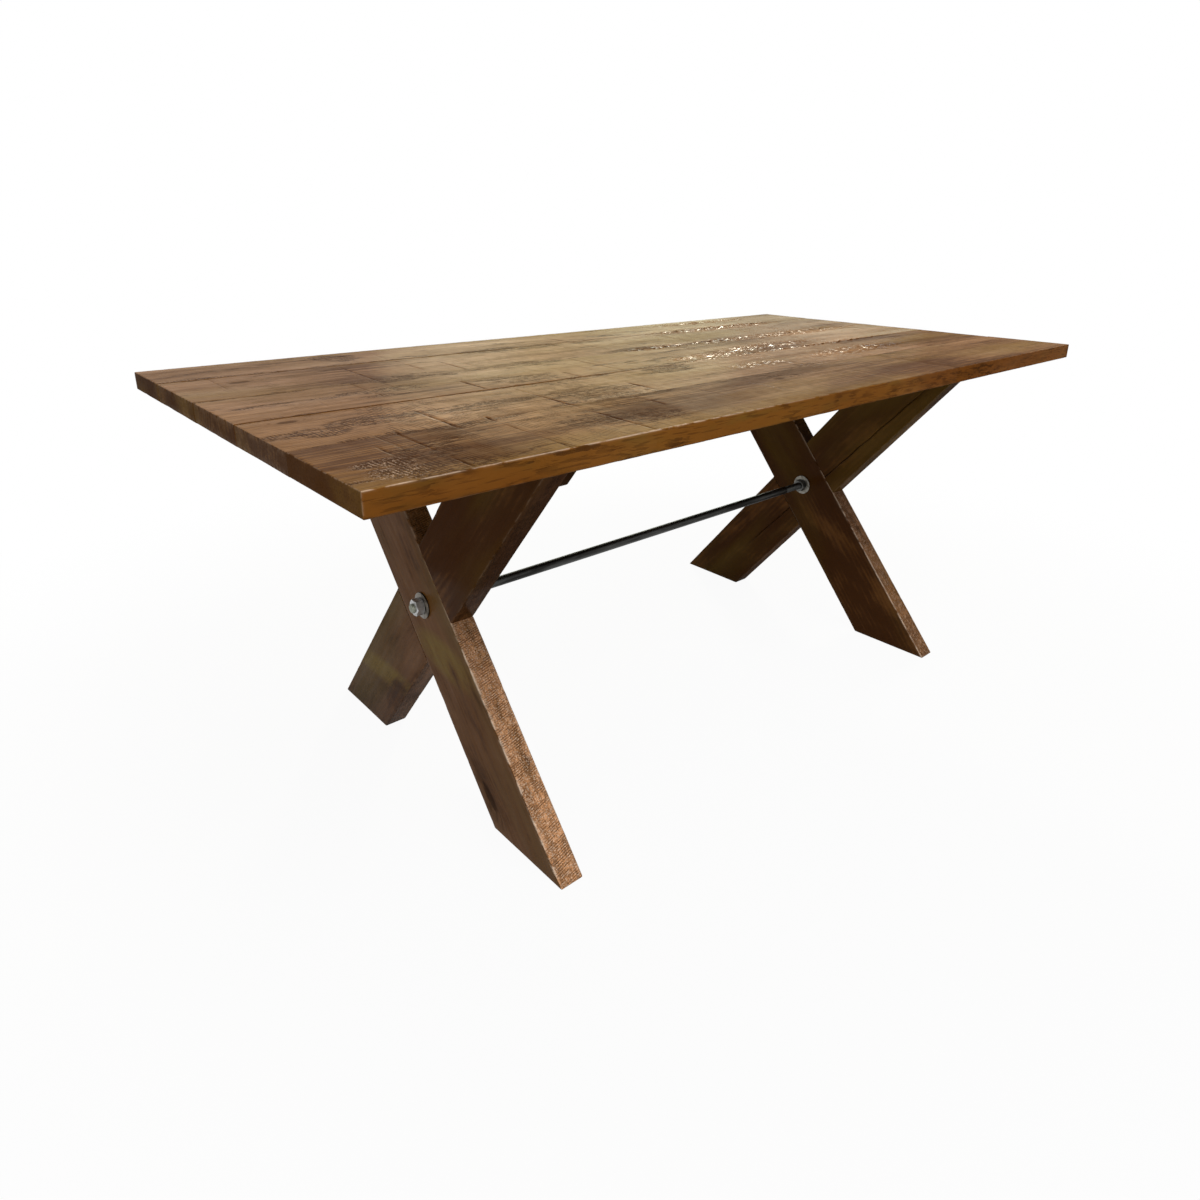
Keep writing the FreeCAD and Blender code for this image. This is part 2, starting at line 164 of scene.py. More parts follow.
def makeTimberFigure():
    inputs = {"Vector": ("Coord",), "Float": ("Ring Width", "Knots", "Spot")}
    tree, given, out = startGroup("timberFigure", inputs, {"Float": ("Rings", "Fibre", "Pores", "Knot")})
    coord, spot = given["Coord"], given["Spot"]
    across, through = split(tree, coord)[1:]
    spread = {"Vector": stretched(tree, coord, figure["knotSpread"]), "Scale": 1.0}
    cells = addNode(tree, "ShaderNodeTexVoronoi", spread, feature="F1").outputs
    pick = addNode(tree, "ShaderNodeSeparateColor", {0: cells["Color"]}).outputs[0]
    present = calc(tree, "LESS_THAN", pick, given["Knots"])
    near = times(tree, fade(tree, cells["Distance"], figure["knotReach"], 0.0), present)
    near = calc(tree, "MAXIMUM", near, spot)
    ragged = ramp(tree, grainCloud(tree, coord, "ragged"), figure["knotRagged"], cells["Distance"])
    core = times(tree, fade(tree, ragged, *figure["knotHeart"]), present)
    heart = ramp(tree, grainCloud(tree, coord, "heart"), -figure["spotRagged"], spot)
    core = calc(tree, "MAXIMUM", core, fade(tree, heart, *figure["spotHeart"]))
    wander = calc(tree, "SUBTRACT", grainCloud(tree, coord, "wander"), 0.5)
    side = ramp(tree, wander, figure["wander"], across)
    depth = calc(tree, "ADD", through, figure["pithDepth"])
    radius = calc(tree, "SQRT", ramp(tree, side, side, times(tree, depth, depth)))
    pushed = ramp(tree, near, figure["ringPush"], radius)  # rings bend round a knot
    rings = times(tree, calc(tree, "PINGPONG", calc(tree, "DIVIDE", pushed, given["Ring Width"]), 0.5), 2.0)
    swirl = times(tree, fade(tree, near, *figure["swirlReach"]), fade(tree, rings, *figure["swirlRings"]),
                  figure["swirlDark"])
    feed(tree, calc(tree, "POWER", rings, figure["ringSharpness"]), out["Rings"])
    feed(tree, grainCloud(tree, coord, "fibre"), out["Fibre"])
    feed(tree, grainMark(tree, coord, "pores"), out["Pores"])
    feed(tree, calc(tree, "MAXIMUM", core, swirl), out["Knot"])
    return tree


# saw marks: blade lines and torn specks inside the patches that the planer missed
sawing = dict(
    slantAcross=0.07, slantThrough=0.22, drift=0.01, lineEdge=(0.1, 0.8), combRise=0.16,
    patchHeart=(0.3, 0.8), patchRim=(0.02, 0.5))


def makeSawMarks():
    inputs = {"Vector": ("Coord",), "Float": ("Patch", "Pitch", "Comb Start", "Combed", "Grit")}
    tree, given, out = startGroup("sawMarks", inputs, {"Float": ("Lines", "Pits", "Tears")})
    coord, patch = given["Coord"], given["Patch"]
    along, across, through = split(tree, coord)
    travel = ramp(tree, across, sawing["slantAcross"], along)
    travel = ramp(tree, through, sawing["slantThrough"], travel)
    travel = ramp(tree, grainCloud(tree, coord, "drift"), sawing["drift"], travel)
    wave = calc(tree, "SINE", calc(tree, "DIVIDE", times(tree, travel, 2.0 * math.pi), given["Pitch"]))
    strength = calc(tree, "SUBTRACT", grainCloud(tree, coord, "combing"), given["Comb Start"])
    strength = fade(tree, strength, 0.0, sawing["combRise"])
    inputs = {0: coord, "Scale": given["Grit"]}
    gritty = addNode(tree, "ShaderNodeVectorMath", inputs, operation="SCALE").outputs[0]
    lines = times(tree, fade(tree, wave, *sawing["lineEdge"]), strength, grainMark(tree, gritty, "dashes"))
    middle = fade(tree, patch, *sawing["patchHeart"])
    rim = fade(tree, patch, *sawing["patchRim"])
    feed(tree, times(tree, lines, calc(tree, "MAXIMUM", middle, given["Combed"])), out["Lines"])
    feed(tree, times(tree, grainMark(tree, gritty, "specks"), middle), out["Pits"])
    feed(tree, times(tree, grainMark(tree, gritty, "torn"), rim), out["Tears"])
    return tree


# stain and lacquer over the figure and the saw marks, with painted highlights, glints and shade
stainColours = ("deep", "body", "pale", "raw", "rubhighlight", "cast", "mark", "gold")
staining = dict(
    mottle=(5.0, 0.6), endGrain=(0.02, 0.12), endStreaks=(0.75, 0.25), ringTone=(0.1, 0.58), shadeTone=0.5,
    bodyTone=(0.36, 0.64), paleTone=(0.62, 0.95, 0.0, 0.85), cast=0.75, gilding=(0.3, 0.55), patchDark=0.12,
    grimeBreak=(0.6, 0.4), grimeDark=0.85, knotDark=0.7, mottleRough=0.14, patchRough=0.04, fibreHeight=0.14,
    depths={"Pits": 0.9, "Tears": 0.6, "Lines": 0.6, "Pores": 0.14})
# how much lacquer stands: change with each mark, and the least
glazing = dict(
    mottle=(1.6, 0.2), dark=(-0.8, 1.0), streaks=(1.2, 0.4), bare=(-0.8, 1.0), shade=(0.8, 0.6),
    faced=(0.5, 0.5))


def makeStainFinish():
    numbers = (
        "Rings", "Fibre", "Pores", "Knot", "Patch", "Lines", "Pits", "Tears", "Streak", "Speck", "Comb",
        "Pore", "WearHighlight", "Grime", "Shade", "Bare", "Sheen", "Lacquer", "Ridges", "Flecks", "Yellow", "Mottle")
    colours = [label.capitalize() for label in stainColours]
    inputs = {"Float": numbers, "Vector": ("Coord", "Blotch"), "Color": colours}
    outputs = {"Color": ("Color",), "Float": ("Roughness", "Height", "Coat")}
    tree, given, out = startGroup("stainFinish", inputs, outputs)
    coord, patch, shade, bare = (given[label] for label in ("Coord", "Patch", "Shade", "Bare"))
    mottle = cloud(tree, coord, given["Blotch"], *staining["mottle"])
    streaks = grainCloud(tree, coord, "streaks")
    faced = fade(tree, shade, *staining["endGrain"])  # 0 on the dark end grain
    streaking = times(tree, given["Streak"], ramp(tree, faced, *staining["endStreaks"]))
    tone = ramp(tree, given["Rings"], *staining["ringTone"])
    for part, weight in ((given["Fibre"], streaking), (streaks, streaking), (mottle, given["Mottle"]),
                         (shade, staining["shadeTone"])):
        tone = ramp(tree, calc(tree, "SUBTRACT", part, 0.5), weight, tone)
    grime = times(tree, given["Grime"], ramp(tree, grainMark(tree, coord, "grime"), *staining["grimeBreak"]))
    dark = times(tree, given["Pores"], given["Pore"])
    for mark, weight in ((grime, staining["grimeDark"]), (given["Pits"], given["Speck"]),
                         (given["Tears"], given["Speck"]), (given["Lines"], given["Comb"]),
                         (given["Knot"], staining["knotDark"])):
        dark = calc(tree, "MAXIMUM", dark, times(tree, mark, weight))
    uncut = ramp(tree, given["Lines"], -1.0, 1.0)
    # pale flecks: painted glints
    flecks = times(tree, grainMark(tree, coord, "flecks"), uncut, given["Flecks"])
    layers = ((fade(tree, tone, *staining["bodyTone"]), "Body"),
              (fade(tree, tone, *staining["paleTone"]), "Pale"),
              (times(tree, grainMark(tree, coord, "cast"), staining["cast"]), "Cast"),
              (times(tree, given["Yellow"], fade(tree, mottle, *staining["gilding"])), "Gold"),
              (times(tree, bare, grainMark(tree, coord, "worn")), "Raw"),
              (times(tree, patch, staining["patchDark"]), "Deep"),
              (dark, "Mark"),
              # real wear and painted arris highlights share one pale colour
              (times(tree, given["WearHighlight"], grainMark(tree, coord, "chips")), "Rubhighlight"),
              (flecks, "Rubhighlight"))
    colour = given["Deep"]
    for share, label in layers:
        colour = blend(tree, share, colour, given[label])
    feed(tree, colour, out["Color"])
    glaze = given["Lacquer"]  # little stands in the cuts and on end grain, much on torn ridges
    for name, part in {"mottle": mottle, "dark": dark, "streaks": streaks, "bare": bare, "shade": shade,
                       "faced": faced}.items():
        glaze = times(tree, glaze, ramp(tree, part, *glazing[name]))
    ridges = times(tree, grainMark(tree, coord, "ridges"), given["Ridges"])
    feed(tree, calc(tree, "MAXIMUM", glaze, ridges), out["Coat"])
    rough = ramp(tree, mottle, staining["mottleRough"], given["Sheen"])
    feed(tree, ramp(tree, patch, staining["patchRough"], rough), out["Roughness"])
    height = times(tree, given["Fibre"], staining["fibreHeight"])
    for label, depth in staining["depths"].items():
        height = ramp(tree, given[label], -depth, height)
    feed(tree, height, out["Height"])
    return tree


woodGroups = (makeTimberFigure(), makeSawMarks(), makeStainFinish())
# layers that each board carries on its points
paintedLayers = {"finish": ("WearHighlight", "Grime", "Patch"), "stain": ("Shade", "Bare", "Spot"),
                 "touches": ("Ridges", "Flecks", "Yellow")}


def painted(tree, layer, output):
    return addNode(tree, "ShaderNodeAttribute", attribute_name=layer).outputs[output]


def makeTimber(name, look):
    material, tree, shader = newMaterial(name)
    known = {"Coord": painted(tree, "grain", "Vector"), "Combed": painted(tree, "combed", "Fac"),
             "Ring Width": look["ringWidth"], "Comb Start": look["combStart"]}
    for key, value in look.items():
        known[key.capitalize()] = (*value, 1.0) if key in stainColours else value
    for layer, labels in paintedLayers.items():
        known.update(zip(labels, split(tree, painted(tree, layer, "Vector"))))
    for group in woodGroups:
        known.update({socket.name: socket for socket in placeGroup(tree, group, known)})
    dress(tree, shader, known, look["relief"], look["reliefDepth"])
    shader.inputs["Specular IOR Level"].default_value = 0.0  # all the gloss is in the lacquer
    feed(tree, known["Coat"], shader.inputs["Coat Weight"])
    shader.inputs["Coat Roughness"].default_value = look["coatRoughness"]
    return material


plankLook = dict(
    deep=(0.08, 0.03, 0.006), body=(0.175, 0.075, 0.014), pale=(0.29, 0.125, 0.025), raw=(0.21, 0.067, 0.009),
    rubhighlight=(0.55, 0.4, 0.28), cast=(0.19, 0.1, 0.018), gold=(0.22, 0.12, 0.02), mark=(0.04, 0.015, 0.005),
    mottle=0.9, blotch=(3.0, 15.0, 15.0), streak=0.5, speck=0.7, comb=0.8, combStart=0.3, grit=0.68, pore=0.4,
    ringWidth=0.012, knots=0.04, pitch=0.006, sheen=0.35, relief=1.0, reliefDepth=0.001, lacquer=0.18,
    coatRoughness=0.24)
legLook = dict(
    deep=(0.06, 0.021, 0.005), body=(0.14, 0.056, 0.013), pale=(0.2, 0.086, 0.022), raw=(0.72, 0.36, 0.17),
    rubhighlight=(0.92, 0.72, 0.55), cast=(0.125, 0.072, 0.011), gold=(0.2, 0.125, 0.02), mark=(0.022, 0.008, 0.003),
    mottle=1.15, blotch=(6.0, 12.0, 12.0), streak=0.1, speck=0.35, comb=0.6, combStart=0.25, grit=1.0,
    pore=0.1, ringWidth=0.014, knots=0.08, pitch=0.0041, sheen=0.35, relief=1.0, reliefDepth=0.0008,
    lacquer=0.17, coatRoughness=0.22)
bearerLook = dict(legLook, lacquer=0.04, deep=(0.04, 0.016, 0.005), body=(0.09, 0.04, 0.012))
plankWood = makeTimber("plankWood", plankLook)
legWood = makeTimber("legWood", legLook)
bearerWood = makeTimber("bearerWood", bearerLook)
print("timber finishes made")


# metal: plated or scaled steel with smudges and fine scratches
steel = dict(
    smudge=(4.0, 0.6), smudgeEdge=(0.38, 0.66), smudgeRough=0.25, smudgeHeight=0.4, grit=(2.0, 0.6),
    gritFineness=9.0, gritHeight=0.6, depth=0.0003)


def makeSteelSkin():
    inputs = {"Vector": ("Stretch",), "Color": ("Base", "Stain"), "Float": ("Gloss",)}
    outputs = {"Color": ("Color",), "Float": ("Roughness", "Height")}
    tree, given, out = startGroup("steelSkin", inputs, outputs)
    sized = stretched(tree, addNode(tree, "ShaderNodeTexCoord").outputs["Object"], given["Stretch"])
    smudge = cloud(tree, sized, (1.0,) * 3, *steel["smudge"])
    grit = cloud(tree, sized, (steel["gritFineness"],) * 3, *steel["grit"])
    smudged = fade(tree, smudge, *steel["smudgeEdge"])
    feed(tree, blend(tree, smudged, given["Base"], given["Stain"]), out["Color"])
    feed(tree, ramp(tree, smudge, steel["smudgeRough"], given["Gloss"]), out["Roughness"])
    gritHeight = times(tree, grit, steel["gritHeight"])
    feed(tree, ramp(tree, smudge, steel["smudgeHeight"], gritHeight), out["Height"])
    return tree


steelSkin = makeSteelSkin()


def makeSteel(name, base, stain, gloss, grit, stretch, metallic=1.0):
    material, tree, shader = newMaterial(name)
    known = {"Stretch": stretch, "Base": (*base, 1.0), "Stain": (*stain, 1.0), "Gloss": gloss}
    skin = placeGroup(tree, steelSkin, known)
    dress(tree, shader, skin, grit, steel["depth"])
    shader.inputs["Metallic"].default_value = metallic
    return material


rodSteel = makeSteel("rodSteel", (0.06, 0.06, 0.057), (0.02, 0.019, 0.018), 0.34, 0.15, (9.0, 90.0, 90.0))
rodEnd = makeSteel("rodEnd", (0.26, 0.27, 0.22), (0.18, 0.19, 0.15), 0.36, 0.1, (80.0,) * 3, 0.8)
nutSteel = makeSteel("nutSteel", (0.56, 0.57, 0.58), (0.32, 0.32, 0.31), 0.24, 0.08, (60.0,) * 3, 0.65)
nutDark = makeSteel("nutDark", (0.1, 0.1, 0.095), (0.04, 0.04, 0.038), 0.3, 0.08, (60.0,) * 3)
washerZinc = makeSteel("washerZinc", (0.24, 0.23, 0.205), (0.12, 0.11, 0.09), 0.34, 0.2, (90.0,) * 3)
washerDull = makeSteel("washerDull", (0.13, 0.115, 0.095), (0.05, 0.042, 0.034), 0.22, 0.2, (90.0,) * 3)
lagZinc = makeSteel("lagZinc", (0.4, 0.39, 0.36), (0.22, 0.2, 0.17), 0.28, 0.3, (150.0,) * 3)
screwBlack = makeSteel("screwBlack", (0.05,) * 3, (0.025,) * 3, 0.35, 0.3, (150.0,) * 3)

dowelLook = dict(
    fibre=((700.0, 15.0, 700.0), 3.0, 0.6), dark=(0.5, 0.33, 0.17, 1.0), pale=(0.68, 0.5, 0.3, 1.0),
    roughness=0.7)


def makeDowelWood():  # bare wood, grain along the dowel
    material, tree, shader = newMaterial("dowelWood")
    fibre = cloud(tree, addNode(tree, "ShaderNodeTexCoord").outputs["Object"], *dowelLook["fibre"])
    feed(tree, blend(tree, fibre, dowelLook["dark"], dowelLook["pale"]), shader.inputs["Base Color"])
    shader.inputs["Roughness"].default_value = dowelLook["roughness"]
    return material


dowelWood = makeDowelWood()
print("metal finishes made")


# boards: a box of close stations, eased and knocked about along its arrises
meshing = dict(
    arrisAngles=(45, 30, 15, 0), clearOfCuts=0.0006, least=0.00015, same=1e-6, sharp=40.0,
    seedOffset=(7.31, 3.17, 5.73), seedGrain=(3.7, 1.9, 0.61), grainDepth=0.03)
# noise over a board's points: stretch along, across and through it, and an offset, which bands and broken
# multiply by the board's seed
boardNoise = dict(
    nicks=((60, 25, 25), 0), radius=((9, 4, 4), 11), swell=((3, 7, 7), 23), ripple=((45, 22, 22), 37),
    kerfs=((2.5, 14, 0), 51), torn=((80, 125, 125), 61), ridges=((110, 160, 160), 83),
    bands=((4.5, 24, 24), 4.1), broken=((22, 95, 95), 2.3), crack=((25, 0, 0), 3))
evenRun = ((-1.0, 1.0), (1.0, 1.0))
plainBoard = dict(
    kerfs=(), fineLines=(), cracks=(), knots=(), blocks=(), roughSpots=(), ridgeSpots=(), fleckSpots=(),
    yellowSpots=(), seams=(False, False), seamReach=0.0005, seamDark=0.6, seamEnd=0.004,
    arrisWearAndHighlight=(0.25,) * 4, arrisEase=0.0007, endWear=0.2, wearAndHighlightReach=0.0009, wearAndHighlightRun=evenRun, bareAndShadeRun=evenRun,
    roughRun=evenRun, combRun=evenRun, shadeRun=((-1.0, 1.0), (0.0, 0.0)), sawSlant=0.0, nicks=1.6,
    nickStart=0.35, endRadius=0.002, radiusChange=0.3, swell=0.0005, ripple=0.00012, bare=(0.0,) * 6,
    shade=0.5, endShade=-0.3, edgeShade=0.0, edgeRun=1.0, onSpots=0.0, besideSeams=0.0, roughReach=0.02,
    tearDepth=0.0002, ridgeLift=0.0, lipWear=0.15, combed=0.0, sideFlecks=0.0, patchLimit=(1.0,) * 6,
    cutDark=2.4, crackDark=2.0, ridgeCoat=0.5, fleckStrength=0.4, yellowStrength=0.9)
kerf = dict(width=0.0022, depth=0.0011, runOut=0.012, backDepth=0.5, broken=(1.4, 0.9))
roughness = dict(bands=0.45, broken=0.18, start=0.55, rise=0.45, fractal=(0.7, 2.1, 5), tear=(0.7, 0.3))


def stations(half, step, radii, extra=()):  # close over each arris, then evenly spaced
    shares = [1.0 - math.tan(math.radians(angle)) for angle in meshing["arrisAngles"]]
    turns = [radius * share for radius in radii for share in shares]
    margin = 2.0 * max(radii)
    count = max(2, round(2.0 * (half - margin) / step))
    places = [side * (half - turn) for turn in turns for side in (-1.0, 1.0)]
    places += list(np.linspace(margin - half, half - margin, count + 1))
    places = [place for place in places if all(abs(place - cut) > meshing["clearOfCuts"] for cut in extra)]
    kept = []
    for place in sorted(places + list(extra)):
        if not kept or place - kept[-1] > meshing["least"]:
            kept.append(place)
    kept[-1] = half
    return np.array(kept)


def shellGrid(lines):  # the faces of a box of stations, as corner points and quads
    counts = [len(line) for line in lines]
    number = np.arange(np.prod(counts)).reshape(counts)
    quads = []
    for axis in range(3):
        for end, flip in ((0, True), (-1, False)):
            sheet = np.take(number, end, axis=axis)
            flip = flip != (axis == 1)
            corners = [sheet[:-1, :-1], sheet[1:, :-1], sheet[1:, 1:], sheet[:-1, 1:]]
            corners = corners[::-1] if flip else corners
            quads.append(np.stack([corner.ravel() for corner in corners], axis=1))
    quads = np.concatenate(quads)
    used, renumbered = np.unique(quads, return_inverse=True)
    grid = np.stack(np.meshgrid(*lines, indexing="ij"), axis=-1).reshape(-1, 3)
    return grid[used], renumbered.reshape(quads.shape)


def noiseAt(points, stretch, offset):
    return np.array([noise.noise(Vector(point)) for point in points * np.array(stretch) + offset])


def boardNoiseAt(points, board, name):
    stretch, shift = boardNoise[name]
    return noiseAt(points, stretch, board["offset"] + shift)


def easeBox(points, half, radius):
    core = np.clip(points, radius - half, half - radius)
    out = (points - core) / radius
    out /= np.linalg.norm(out, axis=1)[:, None]
    normal = out / radius
    return core + out * radius, normal / np.linalg.norm(normal, axis=1)[:, None]


def unit(values):  # held between 0 and 1
    return np.clip(values, 0.0, 1.0)


def crackDepth(points, half, crack):  # a drying check along the grain, on the face at +w
    (startX, startY), (stopX, stopY) = crack["start"], crack["stop"]
    share = unit((points[:, 0] - startX) / (stopX - startX))
    middle = startY + share * (stopY - startY) + crack["wander"] * noiseAt(points, *boardNoise["crack"])
    depth = unit(1.0 - np.abs(points[:, 1] - middle) / crack["width"])
    depth *= unit(np.sin(np.pi * share) * crack["fullness"])
    return depth * (half[2] - points[:, 2] < crack["skin"])


def spotField(points, spots, fullness=1.4):  # 1 in the middle of each listed spot, 0 outside
    field = np.zeros(len(points))
    for middle, reach in spots:
        away = sum(((points[:, axis] - middle[axis]) / reach[axis]) ** 2 for axis in (0, 1))
        field = np.maximum(field, unit(fullness - away))
    return field


def roughPatch(points, board):  # where the planer missed: beside the seams and on listed spots
    gap = board["half"] - np.abs(points)
    nearest = np.argmin(gap, axis=1)
    # sides: 0 and 1 are the ends, 2 and 3 the edges, 4 the underside, 5 the top
    side = nearest * 2 + (np.take_along_axis(points, nearest[:, None], axis=1)[:, 0] > 0.0)
    beside = np.exp(-gap[:, 1] / board["roughReach"]) * np.where(points[:, 1] < 0.0, *board["seams"])
    upper = board["besideSeams"] * beside + board["onSpots"] * spotField(points, board["roughSpots"])
    along = np.where(side == 5, np.interp(points[:, 0], *board["roughRun"]), 1.0)
    sawn = np.array(board["sawn"])[side] * along + upper * (side == 5)
    stretch, shift = boardNoise["bands"]
    spots = points * np.array(stretch) + board["seed"] * shift
    bands = np.array([noise.fractal(Vector(spot), *roughness["fractal"]) for spot in spots])
    stretch, shift = boardNoise["broken"]
    broken = noiseAt(points, stretch, board["seed"] * shift)
    patch = roughness["bands"] * bands + roughness["broken"] * broken + sawn - roughness["start"]
    patch = unit(patch / roughness["rise"]) * (sawn > 0.0)
    return patch * patch * (3.0 - 2.0 * patch) * np.array(board["patchLimit"])[side], side


def knotField(points, board, skin=0.006):  # 1 at the heart of a knot, 0 past its swirl
    field = np.zeros(len(points))
    for axis, side, spot, reach in board["knots"]:
        flat = [other for other in range(3) if other != axis]
        parts = [(points[:, other] - spot[index]) / reach[index] for index, other in enumerate(flat)]
        away = np.sqrt(sum(part ** 2 for part in parts))
        onFace = points[:, axis] * side > board["half"][axis] - skin
        field = np.maximum(field, unit(1.0 - away) * onFace)
    return field


def kerfDepth(points, board):  # single saw cuts across the top face, and their raised lips
    depth = np.zeros(len(points))
    lip = np.zeros(len(points))
    along, across, through = points.T
    rows = ((depth, 0.0, 1.0), (depth, kerf["width"], kerf["backDepth"]), (lip, -kerf["width"], 1.0))
    for place, strength, low, high in board["kerfs"]:
        inside = unit((across - low) / kerf["runOut"]) * unit((high - across) / kerf["runOut"])
        for row, shift, share in rows:
            row += share * strength * inside * (np.abs(along - place - shift) < meshing["same"])
    slope, start = kerf["broken"]
    broken = unit(slope * boardNoiseAt(points, board, "kerfs") + start)
    onTop = broken * (np.abs(through - board["half"][2]) < meshing["same"])
    return depth * onTop, lip * onTop


def slanted(points, board, power=6):  # how far a cross cut slants along the board, fading at its ends
    return board["sawSlant"] * points[:, 1] * (1.0 - (np.abs(points[:, 0]) / board["half"][0]) ** power)


def boardShape(board):  # points, quads, how dark each cut is and how raised its lip
    half = board["half"]
    sides = board["sideRadius"]
    cuts = [cut[0] + shift for cut in board["kerfs"] for shift in (-kerf["width"], 0.0, kerf["width"])]
    lines = [stations(half[0], board["steps"][0], (board["endRadius"],), cuts),
             stations(half[1], board["steps"][1], set(sides), board["fineLines"]),
             stations(half[2], board["steps"][2], set(sides))]
    points, quads = shellGrid(lines)
    nicks = unit(boardNoiseAt(points, board, "nicks") - board["nickStart"]) * board["nicks"]
    vary = 1.0 + board["radiusChange"] * boardNoiseAt(points, board, "radius") + nicks
    endRadius = board["endRadius"] * vary
    sideRadius = np.where(points[:, 1] < 0.0, *sides) * vary
    bySide = (half[1] - np.abs(points[:, 1])) / sideRadius < (half[0] - np.abs(points[:, 0])) / endRadius
    radius = np.stack([endRadius, sideRadius, np.where(bySide, sideRadius, endRadius)], 1)
    eased, normal = easeBox(points, half, radius)
    cut, lip = kerfDepth(points, board)
    patch, side = roughPatch(points, board)
    slope, start = roughness["tear"]
    torn = board["tearDepth"] * patch * (start + slope * boardNoiseAt(points, board, "torn"))
    ridged = board["ridgeLift"] * spotField(points, board["ridgeSpots"]) * (side == 5)
    lift = sum(board[name] * boardNoiseAt(points, board, name) for name in ("swell", "ripple"))
    lift = lift + ridged * boardNoiseAt(points, board, "ridges") - torn - kerf["depth"] * cut
    eased += normal * lift[:, None]
    for crack in board["cracks"]:
        eased[:, 2] -= crack["depth"] * crackDepth(points, half, crack)
    eased[:, 0] += slanted(points, board)
    return eased, quads, cut, lip


def linkMesh(name, points, faces):
    mesh = bpy.data.meshes.new(name)
    mesh.from_pydata([tuple(point) for point in points], [], [tuple(face) for face in faces])
    piece = bpy.data.objects.new(name, mesh)
    bpy.context.collection.objects.link(piece)
    return piece


def meshObject(name, points, faces):
    piece = linkMesh(name, points, faces)
    piece.data.validate()
    piece.data.shade_smooth()
    return piece


def carve(piece, *cutters):
    for cutter in cutters:
        step = piece.modifiers.new(cutter.name, "BOOLEAN")
        step.object = cutter
        step.operation = "DIFFERENCE"
        step.solver = "EXACT"
    bpy.context.view_layer.update()
    carved = bpy.data.meshes.new_from_object(piece.evaluated_get(bpy.context.evaluated_depsgraph_get()))
    piece.modifiers.clear()
    old = piece.data
    piece.data = carved
    bpy.data.meshes.remove(old)
    carved.name = piece.name
    for cutter in cutters:
        block = cutter.data
        bpy.data.objects.remove(cutter)
        bpy.data.meshes.remove(block)


def boardFinish(piece, board, place, undo, cut, lip):  # paints grain, wear with painted highlights, stain with painted shade, and marks on the points
    mesh = piece.data
    points = np.empty(len(mesh.vertices) * 3)
    mesh.vertices.foreach_get("co", points)
    back = np.array(place.inverted())
    local = undo(points.reshape(-1, 3) @ back[:3, :3].T + back[:3, 3])
    along = local[:, 0]
    gap = np.abs(board["half"] - np.abs(local))
    order = np.argsort(gap, axis=1)
    arrisGap = np.take_along_axis(gap, order[:, 1:2], axis=1)[:, 0]
    arrisGap = np.maximum(arrisGap - board["arrisEase"], 0.0)
    inSeam = np.where(local[:, 1] < 0.0, *board["seams"]) & (order[:, 2] != 1)
    corner = (local[:, 1] > 0.0) * 2 + (local[:, 2] > 0.0)
    # wear along the arrises, set high where a painted highlight runs along an arris
    wearAndHighlight = np.where(order[:, 2] == 0, np.array(board["arrisWearAndHighlight"])[corner], board["endWear"])
    wearAndHighlight = wearAndHighlight * np.interp(along, *board["wearAndHighlightRun"]) * np.exp(-arrisGap / board["wearAndHighlightReach"]) * ~inSeam
    grime = board["seamDark"] * np.exp(-arrisGap / board["seamReach"])
    grime = grime * inSeam * (gap[:, 0] > board["seamEnd"])
    if len(cut) == len(local):
        grime = np.maximum(grime, board["cutDark"] * cut)
        wearAndHighlight = np.maximum(wearAndHighlight, board["lipWear"] * lip)
    for crack in board["cracks"]:
        grime = np.maximum(grime, board["crackDark"] * crackDepth(local, board["half"], crack))
    patch, side = roughPatch(local, board)
    upper = side == 5
    # bare wood fades towards the top of a leg: painted shade under the table top
    bareUnlessShaded = np.interp(along, *board["bareAndShadeRun"])
    shade = np.full(len(local), board["shade"])
    combed = np.full(len(local), board["combed"])
    unslanted = along - slanted(local, board)
    for start, step, sawn in board["blocks"]:
        shade[unslanted > start] = board["shade"] + step
        combed[unslanted > start] = sawn
    combed = combed * np.interp(along, *board["combRun"]) * upper
    # shade runs along a board paint shade and sheen over the boards' own tone
    shade += np.interp(along, *board["shadeRun"]) * np.where(side < 4, board["edgeRun"], 1.0)
    # end grain is darker; edge shade paints shade on the front and back edges
    shade += board["endShade"] * (side < 2) + board["edgeShade"] * ((side == 2) | (side == 3))
    # flecks on listed spots of the top and along a leg's front edge: painted glints
    flecks = board["fleckStrength"] * spotField(local, board["fleckSpots"]) * upper
    flecks = patch * np.maximum(flecks, board["sideFlecks"] * bareUnlessShaded * (side == 2))
    values = {"WearHighlight": wearAndHighlight, "Grime": grime, "Patch": patch, "Shade": shade, "Flecks": flecks,
              "Bare": np.array(board["bare"])[side] * bareUnlessShaded, "Spot": knotField(local, board),
              "Ridges": board["ridgeCoat"] * spotField(local, board["ridgeSpots"]) * upper,
              "Yellow": board["yellowStrength"] * spotField(local, board["yellowSpots"]) * upper}
    layers = {"grain": local + board["grainStart"]}
    for name, labels in paintedLayers.items():
        layers[name] = np.stack([values[label] for label in labels], 1)
    for name, layer in layers.items():
        target = mesh.attributes.new(name, "FLOAT_VECTOR", "POINT")
        target.data.foreach_set("vector", layer.astype(np.float32).ravel())
    target = mesh.attributes.new("combed", "FLOAT", "POINT")
    target.data.foreach_set("value", combed.astype(np.float32))


def asIs(points):
    return points


